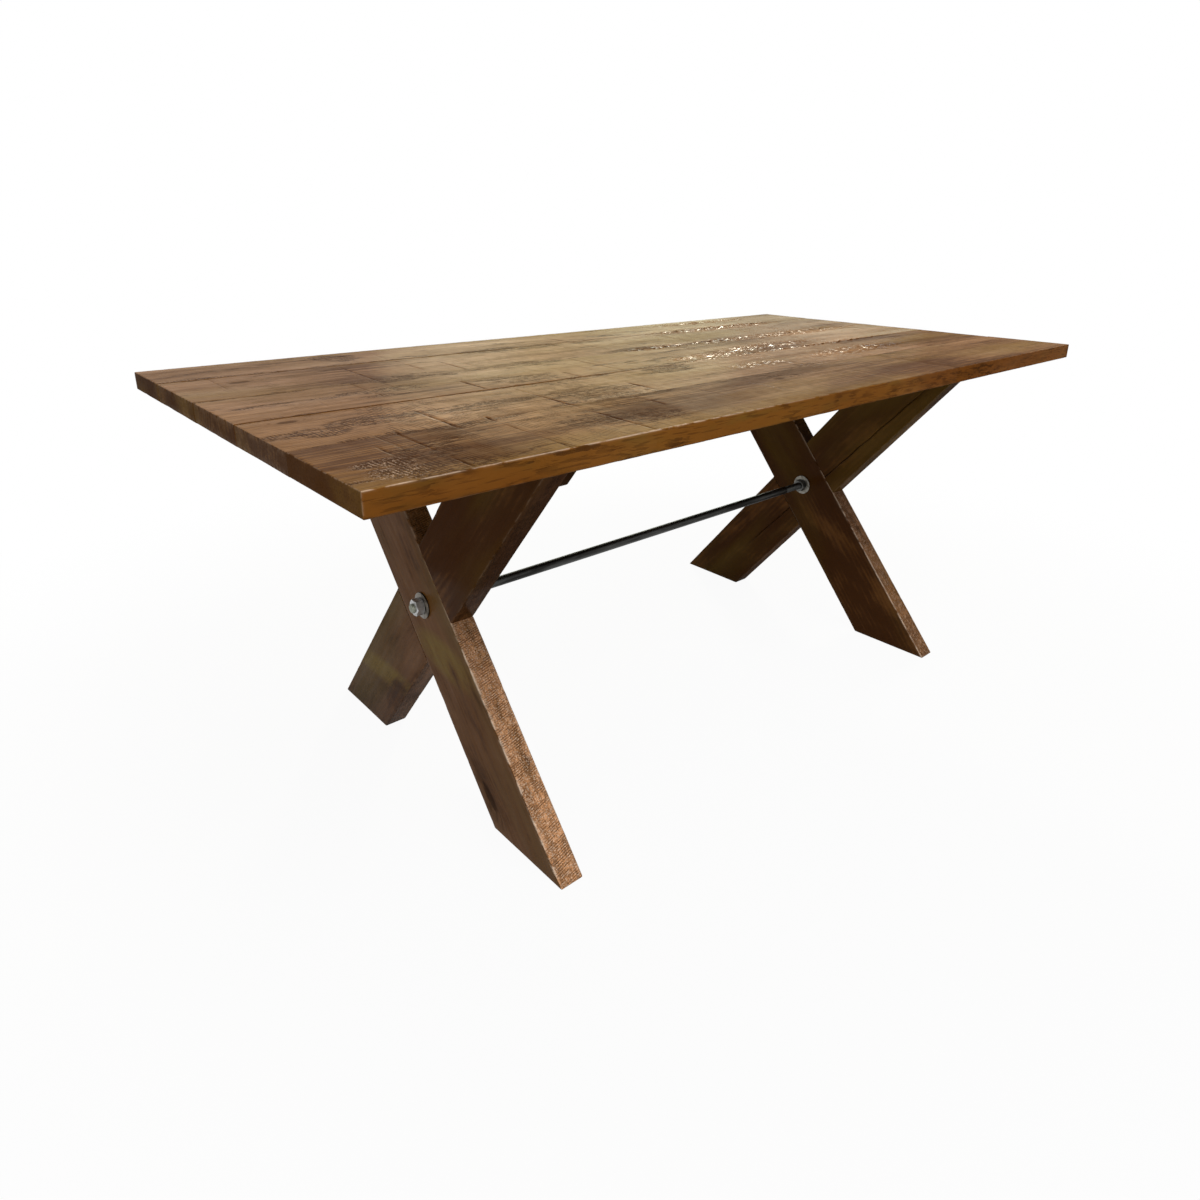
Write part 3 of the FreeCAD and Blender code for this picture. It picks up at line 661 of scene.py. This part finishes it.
def makeBoard(name, board, place, material, shape=asIs, undo=asIs, cutters=()):
    board = dict(plainBoard, **board)
    board["half"] = np.array(board["half"])
    seed = board["seed"]  # no two boards alike
    board["offset"] = seed * np.array(meshing["seedOffset"])
    board["grainStart"] = seed * np.array(meshing["seedGrain"])
    board["grainStart"][2] %= meshing["grainDepth"]
    points, quads, cut, lip = boardShape(board)
    matrix = np.array(place)
    piece = meshObject(name, shape(points) @ matrix[:3, :3].T + matrix[:3, 3], quads)
    if cutters:
        carve(piece, *cutters)
        piece.data.set_sharp_from_angle(angle=math.radians(meshing["sharp"]))
    boardFinish(piece, board, place, undo, cut, lip)
    piece.data.materials.clear()
    piece.data.materials.append(material)
    return piece


def settle(piece, slotName, *replaced):
    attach(piece, "root")
    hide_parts(*replaced)


def nodeBox(node):  # lowest corner, highest corner, middle
    low, high = (Vector(corner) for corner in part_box(node))
    return low, high, (low + high) / 2.0


# top: five planks, each a little proud or shy of its neighbours
plank = dict(
    count=5, edgeRadius=0.0019, seamRadius=0.0005, slant=0.05, blockStep=0.1, combing=(0.3, 1.0),
    proud=(0.0002, -0.0002, 0.0001, -0.0002, 0.0001), shade=(0.45, 0.58, 0.52, 0.42, 0.52), leastCut=0.015,
    faintKerfs=9, faintStrength=(0.25, 0.5), faintPlace=(-0.9, 0.9), faintStart=(-0.09, 0.03),
    faintReach=(0.05, 0.15), ridgeReach=(1.25, 0.6),
    knots={2: ((2, 1, (-0.868, 0.064), (0.05, 0.022)),), 4: ((2, 1, (-0.815, 0.035), (0.06, 0.028)),)})
# lighter and darker stretches along each plank: painted shade and sheen set to the brightness of the top,
# along with the boards' own tone
shadeRuns = (
    ((-0.93, -0.73, -0.6, -0.45, 0.35, 0.55, 0.93), (-0.25, -0.35, 0.0, -0.38, -0.38, 0.0, 0.1)),
    ((-0.93, 0.1, 0.3, 0.45, 0.7, 0.93), (0.0, 0.0, 0.3, 0.1, -0.3, -0.2)),
    ((-0.93, -0.75, -0.6, -0.45, 0.3, 0.6, 0.93), (0.05, 0.0, -0.25, 0.2, -0.1, 0.2, 0.2)),
    ((-0.93, -0.75, -0.6, -0.45, 0.1, 0.3, 0.45, 0.93), (0.15, 0.0, -0.3, 0.0, 0.0, -0.35, -0.1, 0.0)),
    ((-0.93, 0.93), (0.0, 0.0)))
# what all planks share; six values are for the left and right ends, front and back edges, underside and top
plankBoard = dict(
    steps=(0.0042, 0.0037, 0.012), sawSlant=plank["slant"], sawn=(0.0, 0.0, 0.7, 0.7, 0.8, 0.47),
    bare=(0.0, 0.0, 0.6, 0.6, 0.0, 0.0), patchLimit=(1.0, 1.0, 0.5, 0.5, 1.0, 1.0), endShade=-0.5,
    # edge shade paints shade on the front and back edges of the planks
    edgeShade=-0.33, edgeRun=0.3, ridgeLift=0.003, combed=0.3, wearAndHighlightReach=0.0005,
    combRun=((-0.93, -0.85, 0.3, 0.7), (0.3, 1.0, 1.0, 0.5)), roughReach=0.016, besideSeams=0.35,
    roughRun=((-0.93, 0.05, 0.3, 0.93), (1.0, 1.0, 0.6, 0.5)), onSpots=0.45, tearDepth=0.0004,
    # the wear run and arris wear here paint a highlight along the front top arris, strongest at the left,
    # over real wear
    wearAndHighlightRun=((-0.93, -0.5, -0.15, 0.0, 0.93), (1.0, 0.9, 0.3, 0.12, 0.12)), ripple=0.0002,
    arrisWearAndHighlight=(0.1, 0.75, 0.1, 0.3), endWear=0.25)
# saw cuts across the top: x, from y, to y, strength
topKerfs = (
    (-0.836, -0.37, -0.3, 0.7), (-0.787, -0.47, -0.25, 0.9), (-0.7, -0.31, -0.15, 0.8),
    (-0.645, -0.47, -0.25, 1.0), (-0.517, -0.08, 0.02, 0.7), (-0.498, -0.47, -0.29, 0.8),
    (-0.488, -0.37, -0.1, 1.0), (-0.369, -0.36, -0.27, 0.8), (-0.313, -0.1, -0.01, 0.7),
    (-0.292, -0.27, -0.17, 0.9), (-0.62, 0.1, 0.3, 0.5), (-0.43, 0.12, 0.32, 0.6), (-0.2, -0.08, 0.12, 0.5),
    (-0.12, -0.46, -0.3, 0.5), (-0.03, 0.15, 0.47, 0.5), (0.14, -0.3, -0.05, 0.6), (0.23, 0.05, 0.3, 0.5),
    (0.36, -0.46, -0.25, 0.6), (0.49, -0.25, 0.0, 0.6), (0.62, 0.1, 0.4, 0.5), (0.71, -0.4, -0.1, 0.5),
    (0.82, -0.05, 0.25, 0.5))
# rough spots that the planer left: middle, reach
topSpots = (
    ((-0.653, 0.02), (0.085, 0.05)), ((-0.76, -0.171), (0.085, 0.032)), ((-0.587, -0.194), (0.105, 0.04)),
    ((-0.867, -0.4), (0.04, 0.05)), ((-0.798, -0.374), (0.05, 0.045)), ((-0.435, -0.227), (0.08, 0.05)),
    ((-0.541, -0.375), (0.06, 0.045)), ((-0.405, -0.024), (0.095, 0.045)), ((-0.814, -0.445), (0.07, 0.03)),
    ((-0.859, -0.193), (0.04, 0.03)), ((-0.818, 0.012), (0.1, 0.018)), ((-0.882, -0.194), (0.06, 0.02)),
    ((-0.35, -0.229), (0.095, 0.05)), ((-0.484, -0.401), (0.1, 0.05)), ((-0.128, -0.114), (0.08, 0.035)),
    ((-0.568, 0.408), (0.05, 0.05)), ((0.2, 0.36), (0.15, 0.03)), ((-0.2, 0.3), (0.12, 0.03)))
# torn ridges where the lacquer glints: middle, reach
topRidges = (
    ((0.088, -0.044), (0.11, 0.05)), ((0.301, -0.021), (0.14, 0.06)), ((0.432, -0.185), (0.17, 0.06)),
    ((0.065, -0.186), (0.07, 0.04)), ((0.492, 0.303), (0.2, 0.05)), ((0.305, 0.111), (0.1, 0.04)),
    ((0.596, 0.107), (0.2, 0.06)), ((0.088, 0.117), (0.08, 0.04)), ((0.35, -0.078), (0.3, 0.015)),
    ((0.5, 0.112), (0.35, 0.015)), ((0.55, 0.42), (0.15, 0.03)))
topFlecks = (((-0.88, -0.41), (0.05, 0.06)),)  # pale flecks in the torn front corner: painted glints


def onPlank(spots, y, widen=(1.0, 1.0)):  # spots of the top, measured from a plank's middle line
    return [((x, spotY - y), (widen[0] * long, widen[1] * wide)) for (x, spotY), (long, wide) in spots]


def cutsOn(low, high, middle, draw):  # place, strength, from, to
    cuts = []
    for x, start, stop, strength in topKerfs:  # a cut runs on over the planks that it crosses
        if start < high.y - plank["leastCut"] and stop > low.y + plank["leastCut"]:
            shifted = x + plank["slant"] * (middle.y - (start + stop) / 2.0)
            cuts.append((shifted, strength, start - middle.y, stop - middle.y))
    for extra in range(plank["faintKerfs"]):  # and fainter ones anywhere
        start = draw.uniform(*plank["faintStart"])
        place = draw.uniform(*plank["faintPlace"])
        strength = draw.uniform(*plank["faintStrength"])
        cuts.append((place, strength, start, start + draw.uniform(*plank["faintReach"])))
    return cuts


def makePlank(index, draw):
    node = f"top_plank_{index + 1}"
    low, high, middle = nodeBox(node)
    cuts = cutsOn(low, high, middle, draw)
    blocks = [(cut[0], draw.uniform(-1.0, 1.0) * plank["blockStep"], draw.uniform(*plank["combing"]))
              for cut in sorted(cuts) if cut[1] > plank["faintStrength"][1]]
    outer = (index == 0, index == plank["count"] - 1)
    board = dict(
        plankBoard, half=tuple((high - low) / 2.0), seed=index + 1, kerfs=cuts, blocks=blocks,
        sideRadius=tuple(plank["edgeRadius"] if side else plank["seamRadius"] for side in outer),
        seams=tuple(not side for side in outer), shade=plank["shade"][index], shadeRun=shadeRuns[index],
        roughSpots=onPlank(topSpots, middle.y), ridgeSpots=onPlank(topRidges, middle.y, plank["ridgeReach"]),
        fleckSpots=onPlank(topFlecks, middle.y), knots=plank["knots"].get(index + 1, ()))
    middle.z += plank["proud"][index]
    piece = makeBoard(f"plankBoard{index + 1}", board, Matrix.Translation(middle), plankWood)
    settle(piece, "top_wood", node)


plankDraw = random.Random(7)
for plankIndex in range(plank["count"]):
    makePlank(plankIndex, plankDraw)
print("planks made")


# trestles: half-lapped legs, cut level at the floor and under the top
leg = dict(angle=40.0, width=0.15, lapGap=0.0003, arris=0.0026, bore=0.019, cutLength=0.4, crackStep=0.0012)
# what all legs share, then each leg's own: lean is 1 towards the back, lap is the X side that is cut. The
# shared shade of 0.05, kept by the right legs, paints them darker for the shade that falls on them
legBoard = dict(
    steps=(0.009, 0.009, 0.0075), sideRadius=(leg["arris"], leg["arris"]), nicks=1.3, swell=0.0004,
    ripple=0.0001, sawn=(0.0, 0.0, 0.95, 0.8, 0.2, 0.2), bare=(0.0, 0.0, 0.1, 0.1, 0.0, 0.0),
    # less bare wood towards the top of each leg: painted shade under the table top
    arrisWearAndHighlight=(0.08,) * 4, bareAndShadeRun=((-0.02, 0.12), (1.0, 0.1)), shade=0.05)
legCrack = dict(
    start=(-0.31, -0.0125), stop=(0.43, -0.0445), width=0.0026, depth=0.003, wander=0.0015, fullness=3.0,
    skin=0.004)
legs = {
    "left_leg_a": dict(
        lean=1, lap=1, seed=11, shade=0.6, sawn=(0.0, 0.0, 1.35, 0.8, 0.2, 0.2),
        # arris wear, its reach and its run paint a highlight along one arris of the front edge, strongest low
        # down, over real wear
        bare=(0.0, 0.0, 0.95, 0.1, 0.0, 0.0), arrisWearAndHighlight=(0.4, 1.0, 0.3, 0.3), sideFlecks=0.38,
        wearAndHighlightReach=0.0014, wearAndHighlightRun=((-0.05, 0.08), (1.0, 0.25)), yellowSpots=(((-0.11, 0.0), (0.05, 0.07)),),
        knots=((2, 1, (-0.396, 0.044), (0.085, 0.034)), (1, -1, (-0.266, -0.012), (0.035, 0.016)))),
    "left_leg_b": dict(
        # the shade run paints shade on the upper part of the leg, under the table top
        lean=-1, lap=-1, seed=12, shade=0.45, shadeRun=((-0.05, 0.2), (0.0, -0.6)),
        yellowSpots=(((-0.29, 0.01), (0.035, 0.12)),)),
    "right_leg_a": dict(
        lean=1, lap=1, seed=13, sawn=(0.0, 0.0, 1.2, 0.8, 0.2, 0.2), bare=(0.0, 0.0, 0.3, 0.1, 0.0, 0.0),
        arrisWearAndHighlight=(0.3, 0.8, 0.3, 0.3), sideFlecks=0.2),
    "right_leg_b": dict(lean=-1, lap=-1, seed=14, cracks=(legCrack,))}


def boxCutter(name, size, place):
    ends = (-0.5, 0.5)
    corners = [Vector((x * size[0], y * size[1], z * size[2])) for x in ends for y in ends for z in ends]
    faces = [(0, 1, 3, 2), (4, 6, 7, 5), (0, 4, 5, 1), (2, 3, 7, 6), (0, 2, 6, 4), (1, 5, 7, 3)]
    return linkMesh(name, [place @ corner for corner in corners], faces)


def ringSkin(rings, sides, closed=False):  # quads between rings of points
    faces = []
    for ring in range(rings if closed else rings - 1):
        after = (ring + 1) % rings
        for side in range(sides):
            turn = (side + 1) % sides
            near, far = ring * sides, after * sides
            faces.append((near + side, near + turn, far + turn, far + side))
    return faces


def roundCutter(name, spots, radius, length, turn=Matrix.Identity(3), sides=32):  # one mesh of cylinders
    points, faces = [], []
    turns = [2.0 * math.pi * step / sides for step in range(sides)]
    for spot in spots:
        base = len(points)
        for end in (-length / 2.0, length / 2.0):
            ring = [Vector((radius * math.cos(angle), radius * math.sin(angle), end)) for angle in turns]
            points += [Vector(spot) + turn @ point for point in ring]
        rims = [tuple(reversed(range(sides))), tuple(range(sides, 2 * sides))]
        faces += [[base + number for number in face] for face in rims + ringSkin(2, sides)]
    return linkMesh(name, points, faces)


def legAxes(lean):  # up the leg, across its width, through its thickness
    angle = math.radians(leg["angle"])
    along = Vector((0.0, lean * math.sin(angle), math.cos(angle)))
    across = Vector((0.0, math.cos(angle), -lean * math.sin(angle)))
    return along, across, along.cross(across)


def axesAt(spot, axes):
    return Matrix.Translation(spot) @ Matrix(axes).transposed().to_4x4()


def leanEnds(points, slope):  # slides the ends of a square board level with the floor
    moved = points.copy()
    moved[:, 0] += points[:, 1] * slope
    return moved


def makeLeg(node, own):
    low, high, middle = nodeBox(node)
    thick = high.x - low.x
    axes = legAxes(own["lean"])
    slope = own["lean"] * math.tan(math.radians(leg["angle"]))
    half = ((high.z - low.z) / 2.0 / axes[0].z, leg["width"] / 2.0, thick / 2.0)
    board = dict(legBoard, half=half, **own)
    for crack in own.get("cracks", ()):  # closer stations over a crack
        board["fineLines"] = np.arange(crack["stop"][1], crack["start"][1], leg["crackStep"])
    lapPlace = axesAt(middle + Vector((own["lap"] * thick / 2.0, 0.0, 0.0)), legAxes(-own["lean"]))
    lap = boxCutter(f"{node}Lap", (leg["cutLength"], leg["width"] + leg["lapGap"], thick), lapPlace)
    sideways = Matrix.Rotation(math.pi / 2.0, 3, "Y")
    bore = roundCutter(f"{node}Bore", [middle], leg["bore"] / 2.0, 2.0 * thick, sideways)
    end, letter = node.split("_leg_")
    piece = makeBoard(
        f"{end}Leg{letter.upper()}", board, axesAt(middle, axes), legWood,
        lambda points: leanEnds(points, slope), lambda points: leanEnds(points, -slope), (lap, bore))
    settle(piece, "leg_wood", node)


for legNode, ownLook in legs.items():
    makeLeg(legNode, ownLook)
print("trestles made")


# bearers: cleats under the top with bevelled ends and counterbored screws
bearer = dict(
    bevel=40.0, counterbore=0.018, boreDepth=0.03, screwHole=0.007, holeLength=0.3, headRadius=0.0065,
    screws=(-1.0, -1.0 / 3.0, 1.0 / 3.0, 1.0))
bearerBoard = dict(
    steps=(0.012, 0.011, 0.0115), sideRadius=(0.002, 0.002), sawn=(0.0, 0.0, 0.6, 0.6, 0.5, 0.5), shade=0.05)


def makeBearer(end, seed):
    node = f"{end}_bearer"
    low, high, middle = nodeBox(node)
    half = ((high.y - low.y) / 2.0, (high.z - low.z) / 2.0, (high.x - low.x) / 2.0)
    taper = 2.0 * half[1] * math.tan(math.radians(bearer["bevel"]))

    def bevelEnds(points, back=1.0):  # shorter towards the underside
        moved = points.copy()
        share = (half[1] - points[:, 1]) / (2.0 * half[1])
        moved[:, 0] *= (1.0 - share * taper / half[0]) ** back
        return moved

    screwLow, screwHigh = nodeBox(f"{end}_top_screws")[:2]
    reach = (screwHigh.y - screwLow.y) / 2.0 - bearer["headRadius"]
    spots = [(middle.x, reach * share, low.z) for share in bearer["screws"]]
    heads = roundCutter(f"{node}Heads", spots, bearer["counterbore"] / 2.0, 2.0 * bearer["boreDepth"])
    holes = roundCutter(f"{node}Holes", spots, bearer["screwHole"] / 2.0, bearer["holeLength"])
    place = axesAt(middle, ((0, 1, 0), (0, 0, 1), (1, 0, 0)))
    piece = makeBoard(f"{end}Bearer", dict(bearerBoard, half=half, seed=seed), place, bearerWood,
                      bevelEnds, lambda points: bevelEnds(points, -1.0), (heads, holes))
    settle(piece, "bearer_wood", node)


makeBearer("left", 21)
makeBearer("right", 22)
print("bearers made")


# tie rod: plain bar with rolled threads where it passes the trestles
rod = dict(
    sides=36, pitch=0.0025, root=0.0009, chamfer=0.0015, spare=0.06, step=0.0005, threadRadius=0.009,
    plainRings=40)


def ringPoint(x, radius, turn, height):
    return (x, radius * math.cos(turn), height + radius * math.sin(turn))


def makeRod():
    low, high, middle = nodeBox("tie_rod")
    full = (high.z - low.z) / 2.0
    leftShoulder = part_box("left_inner_nut")[1][0] + rod["spare"]
    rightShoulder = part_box("right_inner_nut")[0][0] - rod["spare"]
    grow = full - rod["threadRadius"]
    places = list(np.arange(low.x, leftShoulder, rod["step"])) + [leftShoulder, leftShoulder + grow]
    places += list(np.linspace(leftShoulder + 2.0 * grow, rightShoulder - 2.0 * grow, rod["plainRings"]))
    places += [rightShoulder - grow] + list(np.arange(rightShoulder, high.x, rod["step"])) + [high.x]
    sides = rod["sides"]
    points = []
    for x in places:
        ends = min(x - low.x, high.x - x)
        for side in range(sides):
            radius = full
            if x <= leftShoulder or x >= rightShoulder:
                saw = abs(((x / rod["pitch"] - side / sides) % 1.0) * 2.0 - 1.0)
                radius = rod["threadRadius"] - rod["root"] * saw
                radius = min(radius, rod["threadRadius"] - rod["chamfer"] + ends)
            points.append(ringPoint(x, radius, 2.0 * math.pi * (side / sides), middle.z))
    last = (len(places) - 1) * sides
    caps = [tuple(reversed(range(sides))), tuple(range(last, last + sides))]
    piece = meshObject("tieRod", points, ringSkin(len(places), sides) + caps)
    piece.data.set_sharp_from_angle(angle=math.radians(meshing["sharp"]))
    piece.data.materials.append(rodSteel)
    piece.data.materials.append(rodEnd)
    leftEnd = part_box("left_outer_nut")[0][0]
    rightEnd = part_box("right_outer_nut")[1][0]
    for face in piece.data.polygons:  # bright plating is left on the ends outside the nuts
        face.material_index = int(face.center.x < leftEnd or face.center.x > rightEnd)
    settle(piece, "rod_steel", "tie_rod")


makeRod()
print("tie rod made")


# rod ends: chamfered hex nuts on plain washers
fastener = dict(
    across=0.0286, sides=60, chamfer=0.577, flat=0.96, bore=0.009, washerBore=0.0105, rim=0.0006, rimBend=0.3,
    sharp=28.0)


def turnedPiece(node, slotName, material, halfProfile):  # a closed profile, turned about the rod
    low, high, middle = nodeBox(node)
    sides = fastener["sides"]
    turns = [2.0 * math.pi * side / sides for side in range(sides)]
    profiles = []
    for turn in turns:  # the second half mirrors the first
        half = halfProfile((high.z - low.z) / 2.0, turn)
        profile = [(low.x + inset, radius) for inset, radius in half]
        profiles.append(profile + [(high.x - inset, radius) for inset, radius in half[::-1]])
    points = [ringPoint(*spot, turn, middle.z) for ring in zip(*profiles) for spot, turn in zip(ring, turns)]
    end, side, kind = node.split("_")
    faces = ringSkin(len(profiles[0]), sides, closed=True)
    piece = meshObject(f"{end}.{side}{kind.capitalize()}", points, faces)
    piece.data.set_sharp_from_angle(angle=math.radians(fastener["sharp"]))
    piece.data.materials.append(material)
    settle(piece, slotName, node)


def nutProfile(outer, turn):  # inset from a face, radius
    apothem = fastener["across"] / 2.0
    circle = fastener["flat"] * apothem
    hexagon = apothem / math.cos((turn % (math.pi / 3.0)) - math.pi / 6.0)
    return (0.0, fastener["bore"]), (0.0, circle), (fastener["chamfer"] * (hexagon - circle), hexagon)


def washerProfile(outer, turn):
    rim = fastener["rim"]
    bend = fastener["rimBend"] * rim
    return (0.0, fastener["washerBore"]), (0.0, outer - rim), (bend, outer - bend), (rim, outer)


rodSkins = {"left_outer": (nutSteel, washerDull), "left_inner": (nutDark, washerZinc),
            "right_inner": (nutDark, washerZinc), "right_outer": (nutSteel, washerDull)}
for rodPlace, (nutSkin, washerSkin) in rodSkins.items():
    turnedPiece(f"{rodPlace}_nut", "nut_steel", nutSkin, nutProfile)
    turnedPiece(f"{rodPlace}_washer", "washer_zinc", washerSkin, washerProfile)
print("rod nuts and washers made")


# hidden hardware keeps its solid
hardware = {"lag_screws": lagZinc, "lag_washers": lagZinc, "top_screws": screwBlack, "seam_dowels": dowelWood}
for nodeName, solid in nodes.items():
    for part, skin in hardware.items():
        if part in nodeName:
            solid.data.materials.clear()
            solid.data.materials.append(skin)
print("screws and dowels finished")


# studio: pale floor, white surroundings, soft light from the front, above and behind
studio = dict(
    floorSize=40.0, floorColour=(0.5, 0.5, 0.5, 1.0), floorRoughness=0.9, floorGlow=(0.95, 1.0),
    glowReach=(0.9, 2.2), roomLight=0.24, white=(1.0, 1.0, 1.0, 1.0))
# name, place, target, width, height, power, tint
lamps = (
    ("frontLamp", (0.1, -1.9, 3.1), (0.0, -0.2, 0.5), 2.4, 1.6, 74.0, (1.0, 1.0, 1.0)),
    ("topLamp", (-0.2, 0.2, 3.4), (0.0, 0.0, 0.7), 3.0, 3.0, 5.0, (1.0, 1.0, 1.0)),
    ("leftLamp", (-0.75, 0.5, 2.3), (-0.75, 0.2, 0.75), 0.8, 0.8, 6.0, (1.0, 0.9, 0.85)),
    ("fillLamp", (-2.2, -1.2, 0.9), (-0.6, -0.2, 0.4), 1.2, 1.2, 8.5, (1.0, 0.96, 0.9)),
    ("sideLamp", (0.59, 3.35, 1.29), (-0.6, 0.1, 0.75), 2.4, 0.8, 4.5, (0.92, 1.0, 0.95)),
    ("backLamp", (1.78, 2.66, 1.29), (-0.2, 0.0, 0.75), 2.2, 0.8, 11.0, (1.0, 1.0, 0.6)),
    ("rightLamp", (2.99, 2.21, 1.0), (0.3, 0.1, 0.75), 2.2, 0.35, 7.5, (0.82, 1.0, 0.8)),
    ("glintLamp", (3.55, 2.45, 3.3), (0.3, 0.0, 0.76), 1.2, 0.4, 150.0, (1.0, 0.93, 0.74)))


def whiteTo(tree):  # 1 for rays that see the surroundings
    path = addNode(tree, "ShaderNodeLightPath").outputs
    seen = calc(tree, "MAXIMUM", path["Is Camera Ray"], path["Is Glossy Ray"])
    return calc(tree, "MAXIMUM", seen, path["Is Transmission Ray"])


def makeFloor():
    half = studio["floorSize"] / 2.0
    corners = [(-half, -half, 0.0), (half, -half, 0.0), (half, half, 0.0), (-half, half, 0.0)]
    floor = linkMesh("studioFloor", corners, [(0, 1, 2, 3)])
    material, tree, shader = newMaterial("floorPale")
    shader.inputs["Base Color"].default_value = studio["floorColour"]
    shader.inputs["Roughness"].default_value = studio["floorRoughness"]
    glow = addNode(tree, "ShaderNodeEmission", {"Color": studio["white"], "Strength": 1.0})
    spot = addNode(tree, "ShaderNodeTexCoord").outputs["Object"]
    away = addNode(tree, "ShaderNodeVectorMath", {0: spot}, operation="LENGTH").outputs["Value"]
    # shadow near the table, white further out
    share = fade(tree, away, *studio["glowReach"], *studio["floorGlow"])
    part = times(tree, whiteTo(tree), share)
    mixed = addNode(tree, "ShaderNodeMixShader", {0: part, 1: shader.outputs[0], 2: glow.outputs[0]})
    feed(tree, mixed.outputs[0], tree.nodes["Material Output"].inputs["Surface"])
    floor.data.materials.append(material)


def makeRoom():
    world = bpy.data.worlds.new("studioRoom")
    world.use_nodes = True
    bpy.context.scene.world = world
    tree = world.node_tree
    room, white = (addNode(tree, "ShaderNodeBackground", {"Color": studio["white"], "Strength": strength})
                   for strength in (studio["roomLight"], 1.0))
    mixed = addNode(tree, "ShaderNodeMixShader", {0: whiteTo(tree), 1: room.outputs[0], 2: white.outputs[0]})
    feed(tree, mixed.outputs[0], tree.nodes["World Output"].inputs["Surface"])


def makeLamp(name, spot, target, wide, tall, power, tint):
    lamp = bpy.data.lights.new(name, "AREA")
    lamp.shape = "ELLIPSE"  # its reflection has no hard side
    lamp.size = wide
    lamp.size_y = tall
    lamp.energy = power
    lamp.color = tint
    holder = bpy.data.objects.new(name, lamp)
    holder.location = spot
    holder.rotation_euler = (Vector(target) - Vector(spot)).to_track_quat("-Z", "Y").to_euler()
    bpy.context.collection.objects.link(holder)


makeFloor()
makeRoom()
for lampFacts in lamps:
    makeLamp(*lampFacts)

# camera: where the photograph was taken from
view = dict(
    eye=(-1.2626, -1.2292, 1.0179), heading=41.85, down=19.1, roll=0.605, lens=24.22, sensor=36.0,
    shift=(-0.0106, -0.0751), nearest=0.01)


def makeCamera():
    lens = bpy.data.cameras.new("photoCamera")
    lens.sensor_width = view["sensor"]
    lens.lens = view["lens"]
    lens.shift_x, lens.shift_y = view["shift"]
    lens.clip_start = view["nearest"]
    holder = bpy.data.objects.new("photoCamera", lens)
    turn = Matrix.Rotation(math.radians(-view["heading"]), 4, "Z")
    tip = Matrix.Rotation(math.radians(90.0 - view["down"]), 4, "X")
    roll = Matrix.Rotation(math.radians(view["roll"]), 4, "Z")
    holder.matrix_world = Matrix.Translation(view["eye"]) @ turn @ tip @ roll
    bpy.context.collection.objects.link(holder)
    bpy.context.scene.camera = holder


makeCamera()
bpy.context.scene.view_settings.view_transform = "Standard"
print("studio and camera set")
